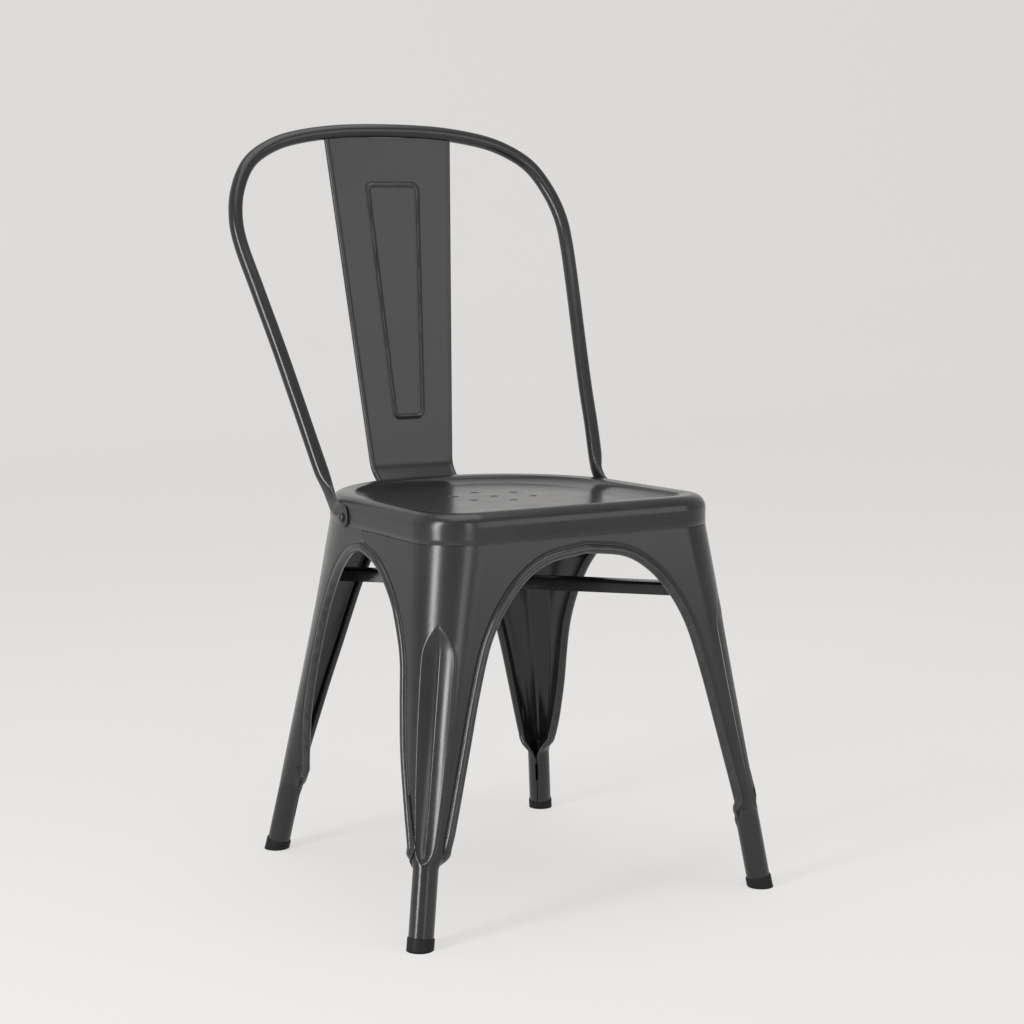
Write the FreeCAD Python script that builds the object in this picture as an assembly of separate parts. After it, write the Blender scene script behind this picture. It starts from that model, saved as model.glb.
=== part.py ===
import FreeCAD, Part
import math
import os
from FreeCAD import Vector, Rotation, Placement

# Frame: X across the chair, minus Y is the open front of the seat, Z up, in millimetres.
# Origin on the floor, under the middle of the overall footprint.

doc = FreeCAD.newDocument("bistro_chair")

# Driving dimensions
dims = doc.addObject("Spreadsheet::Sheet", "dims")
driving = [
    ("seatHalfWidth", 181.0),
    ("seatFrontY", -212.0),
    ("seatRearY", 169.0),
    ("seatFrontRadius", 57.0),
    ("seatRearRadius", 170.0),
    ("seamHeight", 410.6),
    ("crestHeight", 443.3),
    ("crestSlope", 0.012),
    ("shoulderRadius", 15.2),
    ("panThickness", 1.5),
    ("dishInset", 29.0),
    ("dishDepth", 8.0),
    ("drainRadius", 3.5),
    ("drainPitch", 45.0),
    ("drainCentreY", -14.0),
    ("legThickness", 1.8),
    ("lapTop", 426.0),
    ("sideSeamY", -40.0),
    ("tubeRadius", 13.4),
    ("tubeWall", 1.6),
    ("slitWidth", 2.2),
    ("beadRadius", 5.0),
    ("grooveDepth", 7.0),
    ("hoopRadius", 8.25),
    ("hoopWall", 1.5),
    ("tongueThickness", 3.2),
    ("boltY", 2.0),
    ("boltZ", 419.0),
    ("boltShankRadius", 2.95),
    ("boltHeadRadius", 5.4),
    ("boltHeadHeight", 3.4),
    ("boltLength", 15.0),
    ("washerRadius", 7.0),
    ("washerThickness", 1.2),
    ("nutAcrossFlats", 10.0),
    ("nutHeight", 5.0),
    ("splatThickness", 1.6),
    ("splatEdgeRadius", 2.6),
    ("braceWidth", 22.0),
    ("braceHeight", 12.0),
    ("braceThickness", 1.6),
    ("braceBottom", 330.0),
    ("footRadius", 14.4),
    ("footRise", 12.5),
]
for row, (name, value) in enumerate(driving, start=1):
    dims.set("A%d" % row, name)
    dims.set("B%d" % row, str(value))
    dims.setAlias("B%d" % row, name)
doc.recompute()


def dim(name):
    return float(dims.get(name))


def feature(label, shape, placement=Placement()):
    obj = doc.addObject("Part::Feature", label)
    obj.Label = label
    obj.Shape = shape
    obj.Placement = placement
    return obj


def mirrored(shape):
    return shape.mirror(Vector(0, 0, 0), Vector(1, 0, 0))


# Seat outline: rounded front corners, much rounder rear corners
halfWidth = dim("seatHalfWidth")
frontY = dim("seatFrontY")
rearY = dim("seatRearY")
frontRadius = dim("seatFrontRadius")
rearRadius = dim("seatRearRadius")


def seatOutline(inset, z, tilted):
    corners = [
        (halfWidth - frontRadius, frontY + frontRadius, frontRadius, -90.0),
        (halfWidth - rearRadius, rearY - rearRadius, rearRadius, 0.0),
        (rearRadius - halfWidth, rearY - rearRadius, rearRadius, 90.0),
        (frontRadius - halfWidth, frontY + frontRadius, frontRadius, 180.0),
    ]
    arcs = []
    ends = []
    for cx, cy, radius, start in corners:
        r = radius - inset
        on = [Vector(cx + r * math.cos(math.radians(a)), cy + r * math.sin(math.radians(a)), z)
              for a in (start, start + 45.0, start + 90.0)]
        arcs.append(Part.Arc(on[0], on[1], on[2]).toShape())
        ends.append((on[0], on[2]))
    edges = []
    for i in range(4):
        edges.append(arcs[i])
        edges.append(Part.makeLine(ends[i][1], ends[(i + 1) % 4][0]))
    wire = Part.Wire(edges)
    if tilted:
        wire.rotate(Vector(0, frontY, z), Vector(1, 0, 0), -math.degrees(math.atan(dim("crestSlope"))))
    return wire


def outlineLoft(stations):
    wires = [seatOutline(inset, z, tilted) for inset, z, tilted in stations]
    return Part.makeLoft(wires, True, True)


# Seat pan: skirt, rounded shoulder, rim crest and a shallow dish, all one pressed sheet
crest = dim("crestHeight")
shoulder = dim("shoulderRadius")
seam = dim("seamHeight")
sheetT = dim("panThickness")


def panBlank(offset, bottom):
    radius = shoulder - offset
    base = crest - shoulder
    stations = [(offset, bottom, False), (offset, 0.5 * (bottom + base), False)]
    for angle in (0, 15, 30, 45, 60, 75, 90):
        a = math.radians(angle)
        stations.append((offset + radius * (1 - math.cos(a)), base + radius * math.sin(a), True))
    return outlineLoft(stations)


def dishTool(offset):
    edge = dim("dishInset")
    deep = dim("dishDepth")
    profile = [(edge - 12.5, 1.2), (edge - 11.0, -0.1), (edge - 4.0, -0.7), (edge, -1.6),
               (edge + 4.0, -0.55 * deep), (edge + 8.0, -0.93 * deep), (edge + 13.0, -deep)]
    return outlineLoft([(inset - offset, crest + drop - offset, True) for inset, drop in profile])


panOuter = panBlank(0.0, seam)
panInner = panBlank(sheetT, seam - 6.0)
pan = panOuter.cut(dishTool(0.0)).cut(panInner.cut(dishTool(sheetT)))

drains = [Part.makeCylinder(dim("drainRadius"), 60, Vector(0, dim("drainCentreY"), crest - 40))]
for k in range(6):
    a = math.radians(30 + 60 * k)
    at = Vector(dim("drainPitch") * math.cos(a), dim("drainCentreY") + dim("drainPitch") * math.sin(a),
                crest - 40)
    drains.append(Part.makeCylinder(dim("drainRadius"), 60, at))
boltBore = Part.makeCylinder(dim("boltShankRadius") + 0.1, 2 * halfWidth + 60,
                             Vector(-halfWidth - 30, dim("boltY"), dim("boltZ")), Vector(1, 0, 0))
pan = pan.cut(Part.makeCompound(drains)).cut(boltBore)
seatPan = feature("seat_pan", pan)

# Leg corner lines: straight from the seat corner to the foot, one point per height
legTop = seam
frontFoot = Vector(-216.6, -234.2, 0)
rearFoot = Vector(-184.2, 188.5, 0)
tubeR = dim("tubeRadius")
legT = dim("legThickness")
diagonal = math.sqrt(0.5)


def cornerPoint(front, z):
    if front:
        foot, outward, radius = frontFoot, Vector(-diagonal, -diagonal, 0), frontRadius
        top = Vector(frontRadius - halfWidth, frontY + frontRadius, 0)
    else:
        foot, outward, radius = rearFoot, Vector(-diagonal, diagonal, 0), rearRadius
        top = Vector(rearRadius - halfWidth, rearY - rearRadius, 0)
    low = foot + outward * tubeR
    high = top + outward * (radius - 0.3)
    point = low + (high - low) * (z / legTop)
    point.z = z
    return point, outward


def legSection(front, z, radius, half, tails, proud, thick):
    # One closed section of the bent sheet: tail, corner arc, tail, then back along the inner face
    point, outward = cornerPoint(front, z)
    centre = point - outward * radius
    middle = math.atan2(outward.y, outward.x)
    faces = []
    for r in (radius + proud, radius + proud - thick):
        on = [centre + Vector(r * math.cos(middle + math.radians(a)), r * math.sin(middle + math.radians(a)), 0)
              for a in (-half, 0.0, half)]
        spin = [Vector(math.sin(middle - math.radians(half)), -math.cos(middle - math.radians(half)), 0),
                Vector(-math.sin(middle + math.radians(half)), math.cos(middle + math.radians(half)), 0)]
        start = on[0] + spin[0] * tails[0]
        stop = on[2] + spin[1] * tails[1]
        faces.append((start, on, stop))
    (s0, a0, e0), (s1, a1, e1) = faces
    edges = [
        Part.makeLine(s0, a0[0]),
        Part.Arc(a0[0], a0[1], a0[2]).toShape(),
        Part.makeLine(a0[2], e0),
        Part.makeLine(e0, e1),
        Part.makeLine(e1, a1[2]),
        Part.Arc(a1[2], a1[1], a1[0]).toShape(),
        Part.makeLine(a1[0], s1),
        Part.makeLine(s1, s0),
    ]
    return Part.Wire(edges)


# Tails run past the middle of the chair at the top, and are trimmed by the arches lower down
frontStations = [
    (legTop, 56.7, 45.0, (150.0, 130.0)),
    (98.0, 23.8, 45.0, (60.0, 60.0)),
    (82.0, 14.6, 45.0, (60.0, 60.0)),
    (66.0, 13.6, 45.0, (60.0, 60.0)),
]
rearStations = [
    (legTop, 169.7, 45.0, (18.0, 45.0)),
    (392.0, 156.0, 45.0, (30.0, 60.0)),
    (330.0, 98.0, 52.0, (60.0, 55.0)),
    (250.0, 56.0, 64.0, (30.0, 30.0)),
    (170.0, 38.0, 74.0, (16.0, 20.0)),
    (100.0, 23.0, 84.0, (10.0, 16.0)),
    (82.0, 15.0, 88.0, (8.0, 12.0)),
    (66.0, 13.7, 88.0, (6.0, 10.0)),
]


def archWire(points, plane):
    # Closed arch outline: a spline through the jamb and crest points, closed well below the feet
    spline = Part.BSplineCurve()
    spline.interpolate([plane(u, z) for u, z in points])
    first, last = points[0], points[-1]
    edges = [
        spline.toShape(),
        Part.makeLine(plane(*last), plane(last[0], -40.0)),
        Part.makeLine(plane(last[0], -40.0), plane(first[0], -40.0)),
        Part.makeLine(plane(first[0], -40.0), plane(*first)),
    ]
    return Part.Wire(edges)


frontArch = [(0.0, 397.0), (42.0, 391.5), (67.0, 381.5), (90.0, 363.5), (108.0, 342.0), (121.0, 321.0),
             (132.0, 296.0), (146.0, 250.0), (159.0, 200.0), (172.0, 150.0), (185.0, 100.0), (194.0, 66.0)]
rearArch = [(0.0, 396.0), (28.0, 390.5), (48.0, 378.0), (64.0, 359.0), (77.0, 335.0), (87.0, 312.0),
            (98.0, 282.0), (110.0, 246.0), (122.0, 208.0), (133.0, 170.0), (143.0, 135.0), (153.0, 98.0),
            (160.0, 70.0)]
sideArchFront = [(-225.0, 75.0), (-215.0, 104.0), (-198.5, 148.0), (-182.0, 196.0), (-171.5, 240.0),
                 (-160.5, 290.0), (-142.0, 325.0), (-126.0, 346.5), (-98.0, 370.0), (-72.0, 383.5)]
sideArchRear = [(-10.0, 385.5), (16.0, 371.0), (40.0, 352.0), (60.0, 330.0), (77.0, 305.0), (91.0, 278.0),
                (103.0, 248.0), (113.0, 212.0), (121.5, 170.0), (129.0, 130.0), (137.0, 98.0), (147.0, 72.0)]
sideArch = sideArchFront + [(dim("sideSeamY"), 391.3)] + sideArchRear


def onFrontPlane(u, z):
    return Vector(u, -320.0, z)


def onRearPlane(u, z):
    return Vector(u, 20.0, z)


def onSidePlane(u, z):
    return Vector(-300.0, u, z)


def symmetric(points):
    left = [(-u, z) for u, z in reversed(points[1:])]
    return left + points


def widened(points, by):
    # Arch points moved outwards, square to the curve
    moved = []
    for i, (u, z) in enumerate(points):
        before = points[max(i - 1, 0)]
        after = points[min(i + 1, len(points) - 1)]
        du, dz = after[0] - before[0], after[1] - before[1]
        size = math.hypot(du, dz)
        moved.append((u - by * dz / size, z + by * du / size))
    return moved


def archTool(points, plane, push, by):
    return Part.Face(archWire(widened(points, by) if by else points, plane)).extrude(push)


# Each arch is cut twice: once for the opening, once wider to leave a thick rolled lip round it
lip = dim("beadRadius")
tools = {}
for by, name in ((-0.7 * lip, "open"), (1.1 * lip, "lip")):
    tools["front", name] = archTool(symmetric(frontArch), onFrontPlane, Vector(0, 300, 0), by)
    tools["rear", name] = archTool(symmetric(rearArch), onRearPlane, Vector(0, 300, 0), by)
    tools["side", name] = archTool(sideArch, onSidePlane, Vector(300, 0, 0), by)


def grooveWedge(front, heights, widths, depths, shift):
    # Triangular sections down the corner, apex inwards; shift moves the apex deeper
    wires = []
    for z, width, depth in zip(heights, widths, depths):
        point, outward = cornerPoint(front, z)
        across = Vector(-outward.y, outward.x, 0)
        apex = point - outward * (depth + shift)
        reach = 8.0
        spread = 0.5 * width * (depth + shift + reach) / depth
        outer = point + outward * reach
        wires.append(Part.makePolygon([apex, outer + across * spread, outer - across * spread, apex]))
    return Part.makeLoft(wires, True, True)


grooveHeights = (327.0, 318.0, 300.0, 200.0, 112.0, 100.0, 95.0)
grooveWidths = (4.0, 17.0, 29.0, 23.0, 17.0, 12.0, 4.0)
grooveDepths = (1.0, 3.6, 6.6, 6.4, 5.6, 3.6, 1.0)


def legLap(box):
    # Upright flange that stands inside the seat skirt
    outer = Part.Face(seatOutline(sheetT + 0.05, 401.0, False)).extrude(Vector(0, 0, dim("lapTop") - 401.0))
    inner = Part.Face(seatOutline(sheetT + 1.85, 390.0, False)).extrude(Vector(0, 0, 60))
    return outer.cut(inner).common(box)


def legBulk(front, stations):
    # Solid under the outer face of the leg, used to trim the groove lining
    wires = []
    for z, radius, half, tails in stations:
        point, outward = cornerPoint(front, z)
        centre = point - outward * radius
        middle = math.atan2(outward.y, outward.x)
        on = [centre + Vector(radius * math.cos(middle + math.radians(a)),
                              radius * math.sin(middle + math.radians(a)), 0) for a in (-40.0, 0.0, 40.0)]
        wires.append(Part.Wire([Part.Arc(on[0], on[1], on[2]).toShape(), Part.makeLine(on[2], on[0])]))
    return Part.makeLoft(wires, True, front)


def buildLeg(front):
    stations = frontStations if front else rearStations
    end = "front" if front else "rear"
    seamY = dim("sideSeamY")
    corner = Vector(-400.05, seamY - 0.05 - 400, -10) if front else Vector(-400.05, seamY + 0.05, -10)
    quarter = Part.makeBox(400, 400, 600, corner)
    sheet = Part.makeLoft([legSection(front, *s, 0.0, legT) for s in stations], True, front)
    thick = Part.makeLoft([legSection(front, *s, 1.2, 2.0 * lip) for s in stations], True, front)

    lips = thick.common(tools[end, "lip"].fuse(tools["side", "lip"]))
    body = sheet.fuse(lips)
    wedge = grooveWedge(front, grooveHeights, grooveWidths, grooveDepths, 0.0)
    lining = grooveWedge(front, grooveHeights, grooveWidths, grooveDepths, legT)
    vee = lining.common(legBulk(front, stations))
    body = body.fuse(vee).cut(wedge)
    body = body.cut(tools[end, "open"]).cut(tools["side", "open"]).common(quarter)

    foot = frontFoot if front else rearFoot
    point, outward = cornerPoint(front, 120.0)
    axisTop = point - outward * (tubeR + 0.5)
    axis = axisTop - foot
    length = axis.Length
    base = foot + axis * (4.5 / length)
    tube = Part.makeCylinder(tubeR, length * 0.86, base, axis)
    bore = Part.makeCylinder(tubeR - dim("tubeWall"), length, base - axis * 0.1, axis)
    slant = Part.makeBox(80, 80, 120, Vector(-40, 0, 0))
    yaw = math.degrees(math.atan2(-outward.y, -outward.x)) - 90.0
    lean = Rotation(Vector(0, 0, 1), yaw).multiply(Rotation(Vector(1, 0, 0), -38.0))
    slant.Placement = Placement(foot + axis * (66.0 / length) - outward * 9.0, lean)
    body = body.fuse(tube.cut(bore).cut(slant))
    # The rolled tube's seam stays open as a short slit down its inner side
    slit = Part.makeBox(30, dim("slitWidth"), 44, Vector(0, -0.5 * dim("slitWidth"), 0))
    slit.Placement = Placement(foot + axis * (40.0 / length), Rotation(Vector(1, 0, 0), -outward))
    body = body.cut(slit)
    body = body.fuse(legLap(quarter)).cut(boltBore)
    return max(body.Solids, key=lambda item: item.Volume)


for front, name in ((True, "leg_front"), (False, "leg_rear")):
    left = buildLeg(front)
    feature(name + "_left", left)
    feature(name + "_right", mirrored(left))


# Back hoop: one bent tube; each lower end is squashed flat, swung forward and turned down the seat side
hoopR = dim("hoopRadius")
boltY = dim("boltY")
boltZ = dim("boltZ")
tongueX = halfWidth + 0.05
tongueT = dim("tongueThickness")
hoopPlane = Vector(0, -0.894, 0.447)
flat = 0.5 * tongueT
xt = tongueX + flat
# Stations from the right tongue to the top: centre, half size along the seat side, half size across it
hoopStations = [
    (Vector(xt, boltY, boltZ - 9.0), 7.0, flat),
    (Vector(xt, boltY, boltZ), 10.9, flat),
    (Vector(xt, boltY + 1.1, boltZ + 5.6), 9.6, flat),
    (Vector(xt, boltY + 4.3, boltZ + 9.7), 8.9, flat),
    (Vector(xt, boltY + 8.3, boltZ + 11.9), 8.7, flat),
    (Vector(xt, 17.5, 432.3), 8.7, flat),
    (Vector(181.0, 27.5, 433.8), 8.8, 1.9),
    (Vector(178.2, 38.0, 438.2), 8.8, 2.8),
    (Vector(178.0, 45.5, 443.8), 8.7, 4.2),
    (Vector(178.9, 50.2, 450.5), 8.6, 5.8),
    (Vector(180.4, 53.9, 458.0), 8.4, 7.4),
    (Vector(182.2, 58.8, 468.0), hoopR, hoopR),
    (Vector(187.0, 74.8, 501.0), hoopR, hoopR),
    (Vector(192.1, 94.7, 540.0), hoopR, hoopR),
    (Vector(200.5, 123.0, 598.0), hoopR, hoopR),
    (Vector(211.5, 157.0, 666.0), hoopR, hoopR),
    (Vector(219.0, 183.0, 716.0), hoopR, hoopR),
    (Vector(219.0, 197.0, 747.0), hoopR, hoopR),
    (Vector(210.5, 210.5, 778.0), hoopR, hoopR),
    (Vector(192.0, 222.5, 808.0), hoopR, hoopR),
    (Vector(165.0, 231.0, 827.0), hoopR, hoopR),
    (Vector(128.0, 236.5, 840.0), hoopR, hoopR),
    (Vector(70.0, 240.0, 848.5), hoopR, hoopR),
]
hoopTop = (Vector(0, 241.0, 850.8), hoopR, hoopR)


def ovalWire(centre, along, wide, thin):
    # Closed oval square to the path, thin side facing the seat
    flatways = hoopPlane.cross(along).normalize()
    edgeways = along.cross(flatways).normalize()
    points = []
    for k in range(12):
        a = 2 * math.pi * k / 12
        points.append(centre + edgeways * (wide * math.cos(a)) + flatways * (thin * math.sin(a)))
    curve = Part.BSplineCurve()
    curve.interpolate(points, PeriodicFlag=True)
    return Part.Wire([curve.toShape()])


def eased(stations, step):
    # Extra stations on a smooth curve through the given ones, about one step apart
    rows = [(c.x, c.y, c.z, w, t) for c, w, t in stations]
    finer = []
    for i in range(len(rows) - 1):
        p0 = rows[max(i - 1, 0)]
        p1 = rows[i]
        p2 = rows[i + 1]
        p3 = rows[min(i + 2, len(rows) - 1)]
        pieces = max(1, round(math.dist(p1[:3], p2[:3]) / step))
        for k in range(pieces):
            t = k / pieces
            finer.append([0.5 * (2 * b + (c - a) * t + (2 * a - 5 * b + 4 * c - d) * t ** 2
                                 + (3 * b - a - 3 * c + d) * t ** 3) for a, b, c, d in zip(p0, p1, p2, p3)])
    finer.append(rows[-1])
    return [(Vector(*row[:3]), row[3], row[4]) for row in finer]


def hoopLoft(extra, limit):
    left = [(Vector(-c.x, c.y, c.z), w, t) for c, w, t in hoopStations]
    stations = eased(hoopStations + [hoopTop] + left[::-1], 11.0)
    stations = [s for s in stations if abs(s[0].x) < limit]
    wires = []
    for i, (centre, wide, thin) in enumerate(stations):
        before = stations[max(i - 1, 0)][0]
        after = stations[min(i + 1, len(stations) - 1)][0]
        wires.append(ovalWire(centre, (after - before).normalize(), wide + extra, thin + extra))
    return Part.makeLoft(wires, True, True)


hoop = hoopLoft(0.0, 400.0)
hoop = hoop.cut(boltBore)
backHoop = feature("back_hoop", max(hoop.Solids, key=lambda item: item.Volume))


def tubeAlong(points, radius):
    spline = Part.BSplineCurve()
    spline.interpolate(points)
    start = spline.tangent(spline.FirstParameter)[0]
    circle = Part.Wire([Part.makeCircle(radius, points[0], start)])
    return Part.Wire([spline.toShape()]).makePipeShell([circle], True, False)


# Back splat: leaning tapered sheet, its foot bent forward on to the rear shoulder of the seat
splatT = dim("splatThickness")
lean = math.atan(0.141)
bendY, bendZ = 181.7, 447.5
footY, footZ = 162.0, 432.0


def splatSpine(offset):
    # Side view points of one face: foot, bend, top
    topZ = 847.0
    top = Vector(0, bendY + 0.141 * (topZ - bendZ), topZ)
    bend = Vector(0, bendY, bendZ)
    low = Vector(0, footY, footZ)
    n1 = Vector(0, -math.cos(lean), math.sin(lean))
    slope = (bend - low).normalize()
    n2 = Vector(0, -slope.z, slope.y)
    return low + n2 * offset, bend + (n1 + n2).normalize() * offset * 1.06, top + n1 * offset


def splatProfile():
    low0, bend0, top0 = splatSpine(0.0)
    low1, bend1, top1 = splatSpine(splatT)
    return Part.Wire(Part.makePolygon([low0, bend0, top0, top1, bend1, low1, low0]).Edges)


def splatHalf(z):
    return 58.0 + (z - 480.0) * (84.6 - 58.0) / 352.0


slab = Part.Face(splatProfile()).extrude(Vector(240, 0, 0))
slab.translate(Vector(-120, 0, 0))
outline = Part.makePolygon([Vector(-splatHalf(420), -20, 420), Vector(splatHalf(420), -20, 420),
                            Vector(splatHalf(860), -20, 860), Vector(-splatHalf(860), -20, 860),
                            Vector(-splatHalf(420), -20, 420)])
blade = slab.common(Part.Face(Part.Wire(outline.Edges)).extrude(Vector(0, 400, 0)))
bends = [edge for edge in blade.Edges
         if abs(edge.Vertexes[0].Point.z - edge.Vertexes[-1].Point.z) < 1e-4
         and abs(edge.Vertexes[0].Point.z - bendZ) < 4.0]
blade = blade.makeFillet(9.0, [e for e in bends if e.Vertexes[0].Point.y > bendY - 0.2]) \
    if bends else blade
edgeR = dim("splatEdgeRadius")


def splatPoint(x, z, proud):
    if z >= bendZ:
        return Vector(x, bendY + 0.141 * (z - bendZ) - proud * math.cos(lean), z + proud * math.sin(lean))
    share = (z - footZ) / (bendZ - footZ)
    return Vector(x, footY + (bendY - footY) * share - 0.62 * proud, z + 0.78 * proud)


def rolledEdge(side):
    heights = (435.0, 447.0, 456.0, 480.0, 560.0, 700.0, 847.0)
    bulge = (0.8, 0.8, 0.8, 0.8, 0.8, 0.8, 0.8)
    return tubeAlong([splatPoint(side * (splatHalf(z) - edgeR), z, b) for z, b in zip(heights, bulge)], edgeR)


def stampedBead():
    # Rounded trapezoid ridge pressed into the middle of the splat
    corners = [(-18.5, 508.7), (18.5, 508.7), (33.7, 786.0), (-33.7, 786.0)]
    radius = 7.0
    points = [splatPoint(x, z, splatT - 0.8) for x, z in corners]
    edges = []
    stops = []
    for i in range(4):
        here, before, after = points[i], points[i - 1], points[(i + 1) % 4]
        u = (before - here).normalize()
        v = (after - here).normalize()
        reach = radius / math.tan(0.5 * u.getAngle(v))
        a, b = here + u * reach, here + v * reach
        half = (u + v).normalize()
        mid = here + half * (radius / math.sin(0.5 * u.getAngle(v)) - radius)
        stops.append((a, b))
        edges.append(Part.Arc(a, mid, b).toShape())
    path = []
    for i in range(4):
        path.append(edges[i])
        path.append(Part.makeLine(stops[i][1], stops[(i + 1) % 4][0]))
    spine = Part.Wire(path)
    start = path[1].valueAt(path[1].FirstParameter)
    along = path[1].tangentAt(path[1].FirstParameter)
    return Part.Wire(path).makePipeShell([Part.Wire([Part.makeCircle(1.9, start, along)])], True, False)


splat = blade.fuse(rolledEdge(-1)).fuse(rolledEdge(1))
ridge = stampedBead()
splat = splat.fuse(ridge)
splat = splat.cut(panBlank(-0.02, seam)).cut(hoopLoft(0.02, 100.0))
splatSolid = max(splat.Solids, key=lambda item: item.Volume)
backSplat = feature("back_splat", splatSolid)

# Cross brace: two channels on the diagonals, half-lapped where they meet
braceW = dim("braceWidth")
braceH = dim("braceHeight")
braceT = dim("braceThickness")
braceZ = dim("braceBottom")
frontEnd, frontOut = cornerPoint(True, braceZ + 0.5 * braceH)
rearEnd, rearOut = cornerPoint(False, braceZ + 0.5 * braceH)
frontEnd = frontEnd - frontOut * (legT + 1.6)
rearEnd = rearEnd - rearOut * (legT + 1.0)
frontEnd = Vector(-frontEnd.x, frontEnd.y, 0)
rearEnd = Vector(rearEnd.x, rearEnd.y, 0)
run = frontEnd - rearEnd

braceBody = doc.addObject("PartDesign::Body", "brace_body")
planeYZ = [f for f in braceBody.Origin.OriginFeatures if f.Role == "YZ_Plane"][0]
channel = braceBody.newObject("Sketcher::SketchObject", "brace_section")
channel.AttachmentSupport = [(planeYZ, "")]
channel.MapMode = "FlatFace"
half = 0.5 * braceW
corners = [(-half, 0), (-half, braceH), (half, braceH), (half, 0), (half - braceT, 0),
           (half - braceT, braceH - braceT), (-half + braceT, braceH - braceT), (-half + braceT, 0)]
for i in range(8):
    x0, y0 = corners[i]
    x1, y1 = corners[(i + 1) % 8]
    channel.addGeometry(Part.LineSegment(Vector(x0, y0, 0), Vector(x1, y1, 0)), False)
pad = braceBody.newObject("PartDesign::Pad", "brace_run")
pad.Profile = channel
pad.Length = run.Length
doc.recompute()
bar = braceBody.Shape.copy()
shoulders = [e for e in bar.Edges if abs(e.Vertexes[0].Point.z - braceH) < 1e-6
             and abs(e.Vertexes[-1].Point.z - braceH) < 1e-6 and abs(e.Vertexes[0].Point.y) > half - 1e-6
             and abs(e.Vertexes[-1].Point.x - e.Vertexes[0].Point.x) > 100]
bar = bar.makeFillet(1.4, shoulders)


def placedBar(turn):
    copy = bar.copy()
    copy.Placement = Placement(Vector(rearEnd.x, rearEnd.y, braceZ), turn)
    return copy


barA = placedBar(Rotation(Vector(0, 0, 1), math.degrees(math.atan2(run.y, run.x))))
barB = mirrored(barA)
crossing = Vector(0, rearEnd.y + run.y * (-rearEnd.x / run.x), 0)


def lapTool(turn, low, high):
    tool = Part.makeBox(60, braceW + 0.1, high - low, Vector(-30, -0.5 * braceW - 0.05, low))
    tool.Placement = Placement(crossing, turn)
    return tool


turnA = Rotation(Vector(0, 0, 1), math.degrees(math.atan2(run.y, run.x)))
turnB = Rotation(Vector(0, 0, 1), -math.degrees(math.atan2(run.y, run.x)))
middle = braceZ + 0.5 * braceH
barA = barA.cut(lapTool(turnB, braceZ - 5, middle))
barB = barB.cut(lapTool(turnA, middle - 0.05, braceZ + braceH + 5))
feature("cross_brace_rear_left", barA)
feature("cross_brace_rear_right", barB)


def axisPlacement(front, lift):
    foot = frontFoot if front else rearFoot
    point, outward = cornerPoint(front, 120.0)
    axis = (point - outward * (tubeR + 0.5) - foot).normalize()
    return Placement(foot + axis * lift, Rotation(Vector(0, 0, 1), axis))


def revolved(name, rz, label):
    # PartDesign revolution of a closed outline given as radius and height pairs
    body = doc.addObject("PartDesign::Body", name)
    plane = [f for f in body.Origin.OriginFeatures if f.Role == "XZ_Plane"][0]
    sketch = body.newObject("Sketcher::SketchObject", name + "_outline")
    sketch.AttachmentSupport = [(plane, "")]
    sketch.MapMode = "FlatFace"
    for i in range(len(rz)):
        r0, z0 = rz[i]
        r1, z1 = rz[(i + 1) % len(rz)]
        sketch.addGeometry(Part.LineSegment(Vector(r0, z0, 0), Vector(r1, z1, 0)), False)
    turn = body.newObject("PartDesign::Revolution", name + "_turned")
    turn.Profile = sketch
    turn.ReferenceAxis = (sketch, ["V_Axis"])
    turn.Angle = 360.0
    doc.recompute()
    return body


# Rubber feet: cups on the tube ends, cut flat at the floor
footR = dim("footRadius")
footTop = dim("footRise")
cup = revolved("foot_body", [(0, -5), (footR, -5), (footR, footTop - 1.2), (footR - 0.5, footTop),
                             (tubeR + 0.02, footTop), (tubeR + 0.02, 4.48), (0, 4.48)], "foot").Shape
floorSlab = Part.makeBox(1200, 1200, 100, Vector(-600, -600, -100))
for front, end in ((True, "front"), (False, "rear")):
    piece = cup.copy()
    piece.Placement = axisPlacement(front, 0.0)
    piece = piece.cut(floorSlab)
    feature("foot_%s_left" % end, piece)
    feature("foot_%s_right" % end, mirrored(piece))

# Hoop fixings: domed bolt outside, washer and nut inside the skirt
headR = dim("boltHeadRadius")
headH = dim("boltHeadHeight")
shankR = dim("boltShankRadius")
boltLen = dim("boltLength")
dome = [(0, headH), (0.42 * headR, 0.93 * headH), (0.74 * headR, 0.7 * headH), (0.94 * headR, 0.36 * headH),
        (headR, 0.0), (shankR, 0.0), (shankR, -boltLen + 0.6), (shankR - 0.6, -boltLen), (0, -boltLen)]
bolt = revolved("bolt_body", dome, "bolt").Shape
insideX = halfWidth - sheetT - 1.85
washer = revolved("washer_body", [(shankR + 0.15, 0), (dim("washerRadius"), 0),
                                  (dim("washerRadius"), dim("washerThickness")),
                                  (shankR + 0.15, dim("washerThickness"))], "washer").Shape
nutBody = doc.addObject("PartDesign::Body", "nut_body")
nutPlane = [f for f in nutBody.Origin.OriginFeatures if f.Role == "XY_Plane"][0]
nutSketch = nutBody.newObject("Sketcher::SketchObject", "nut_outline")
nutSketch.AttachmentSupport = [(nutPlane, "")]
nutSketch.MapMode = "FlatFace"
acrossCorners = dim("nutAcrossFlats") / math.cos(math.radians(30)) / 2
for k in range(6):
    a0, a1 = math.radians(60 * k), math.radians(60 * k + 60)
    nutSketch.addGeometry(Part.LineSegment(
        Vector(acrossCorners * math.cos(a0), acrossCorners * math.sin(a0), 0),
        Vector(acrossCorners * math.cos(a1), acrossCorners * math.sin(a1), 0)), False)
nutSketch.addGeometry(Part.Circle(Vector(0, 0, 0), Vector(0, 0, 1), shankR + 0.02), False)
nutPad = nutBody.newObject("PartDesign::Pad", "nut_height")
nutPad.Profile = nutSketch
nutPad.Length = dim("nutHeight")
doc.recompute()
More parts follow.
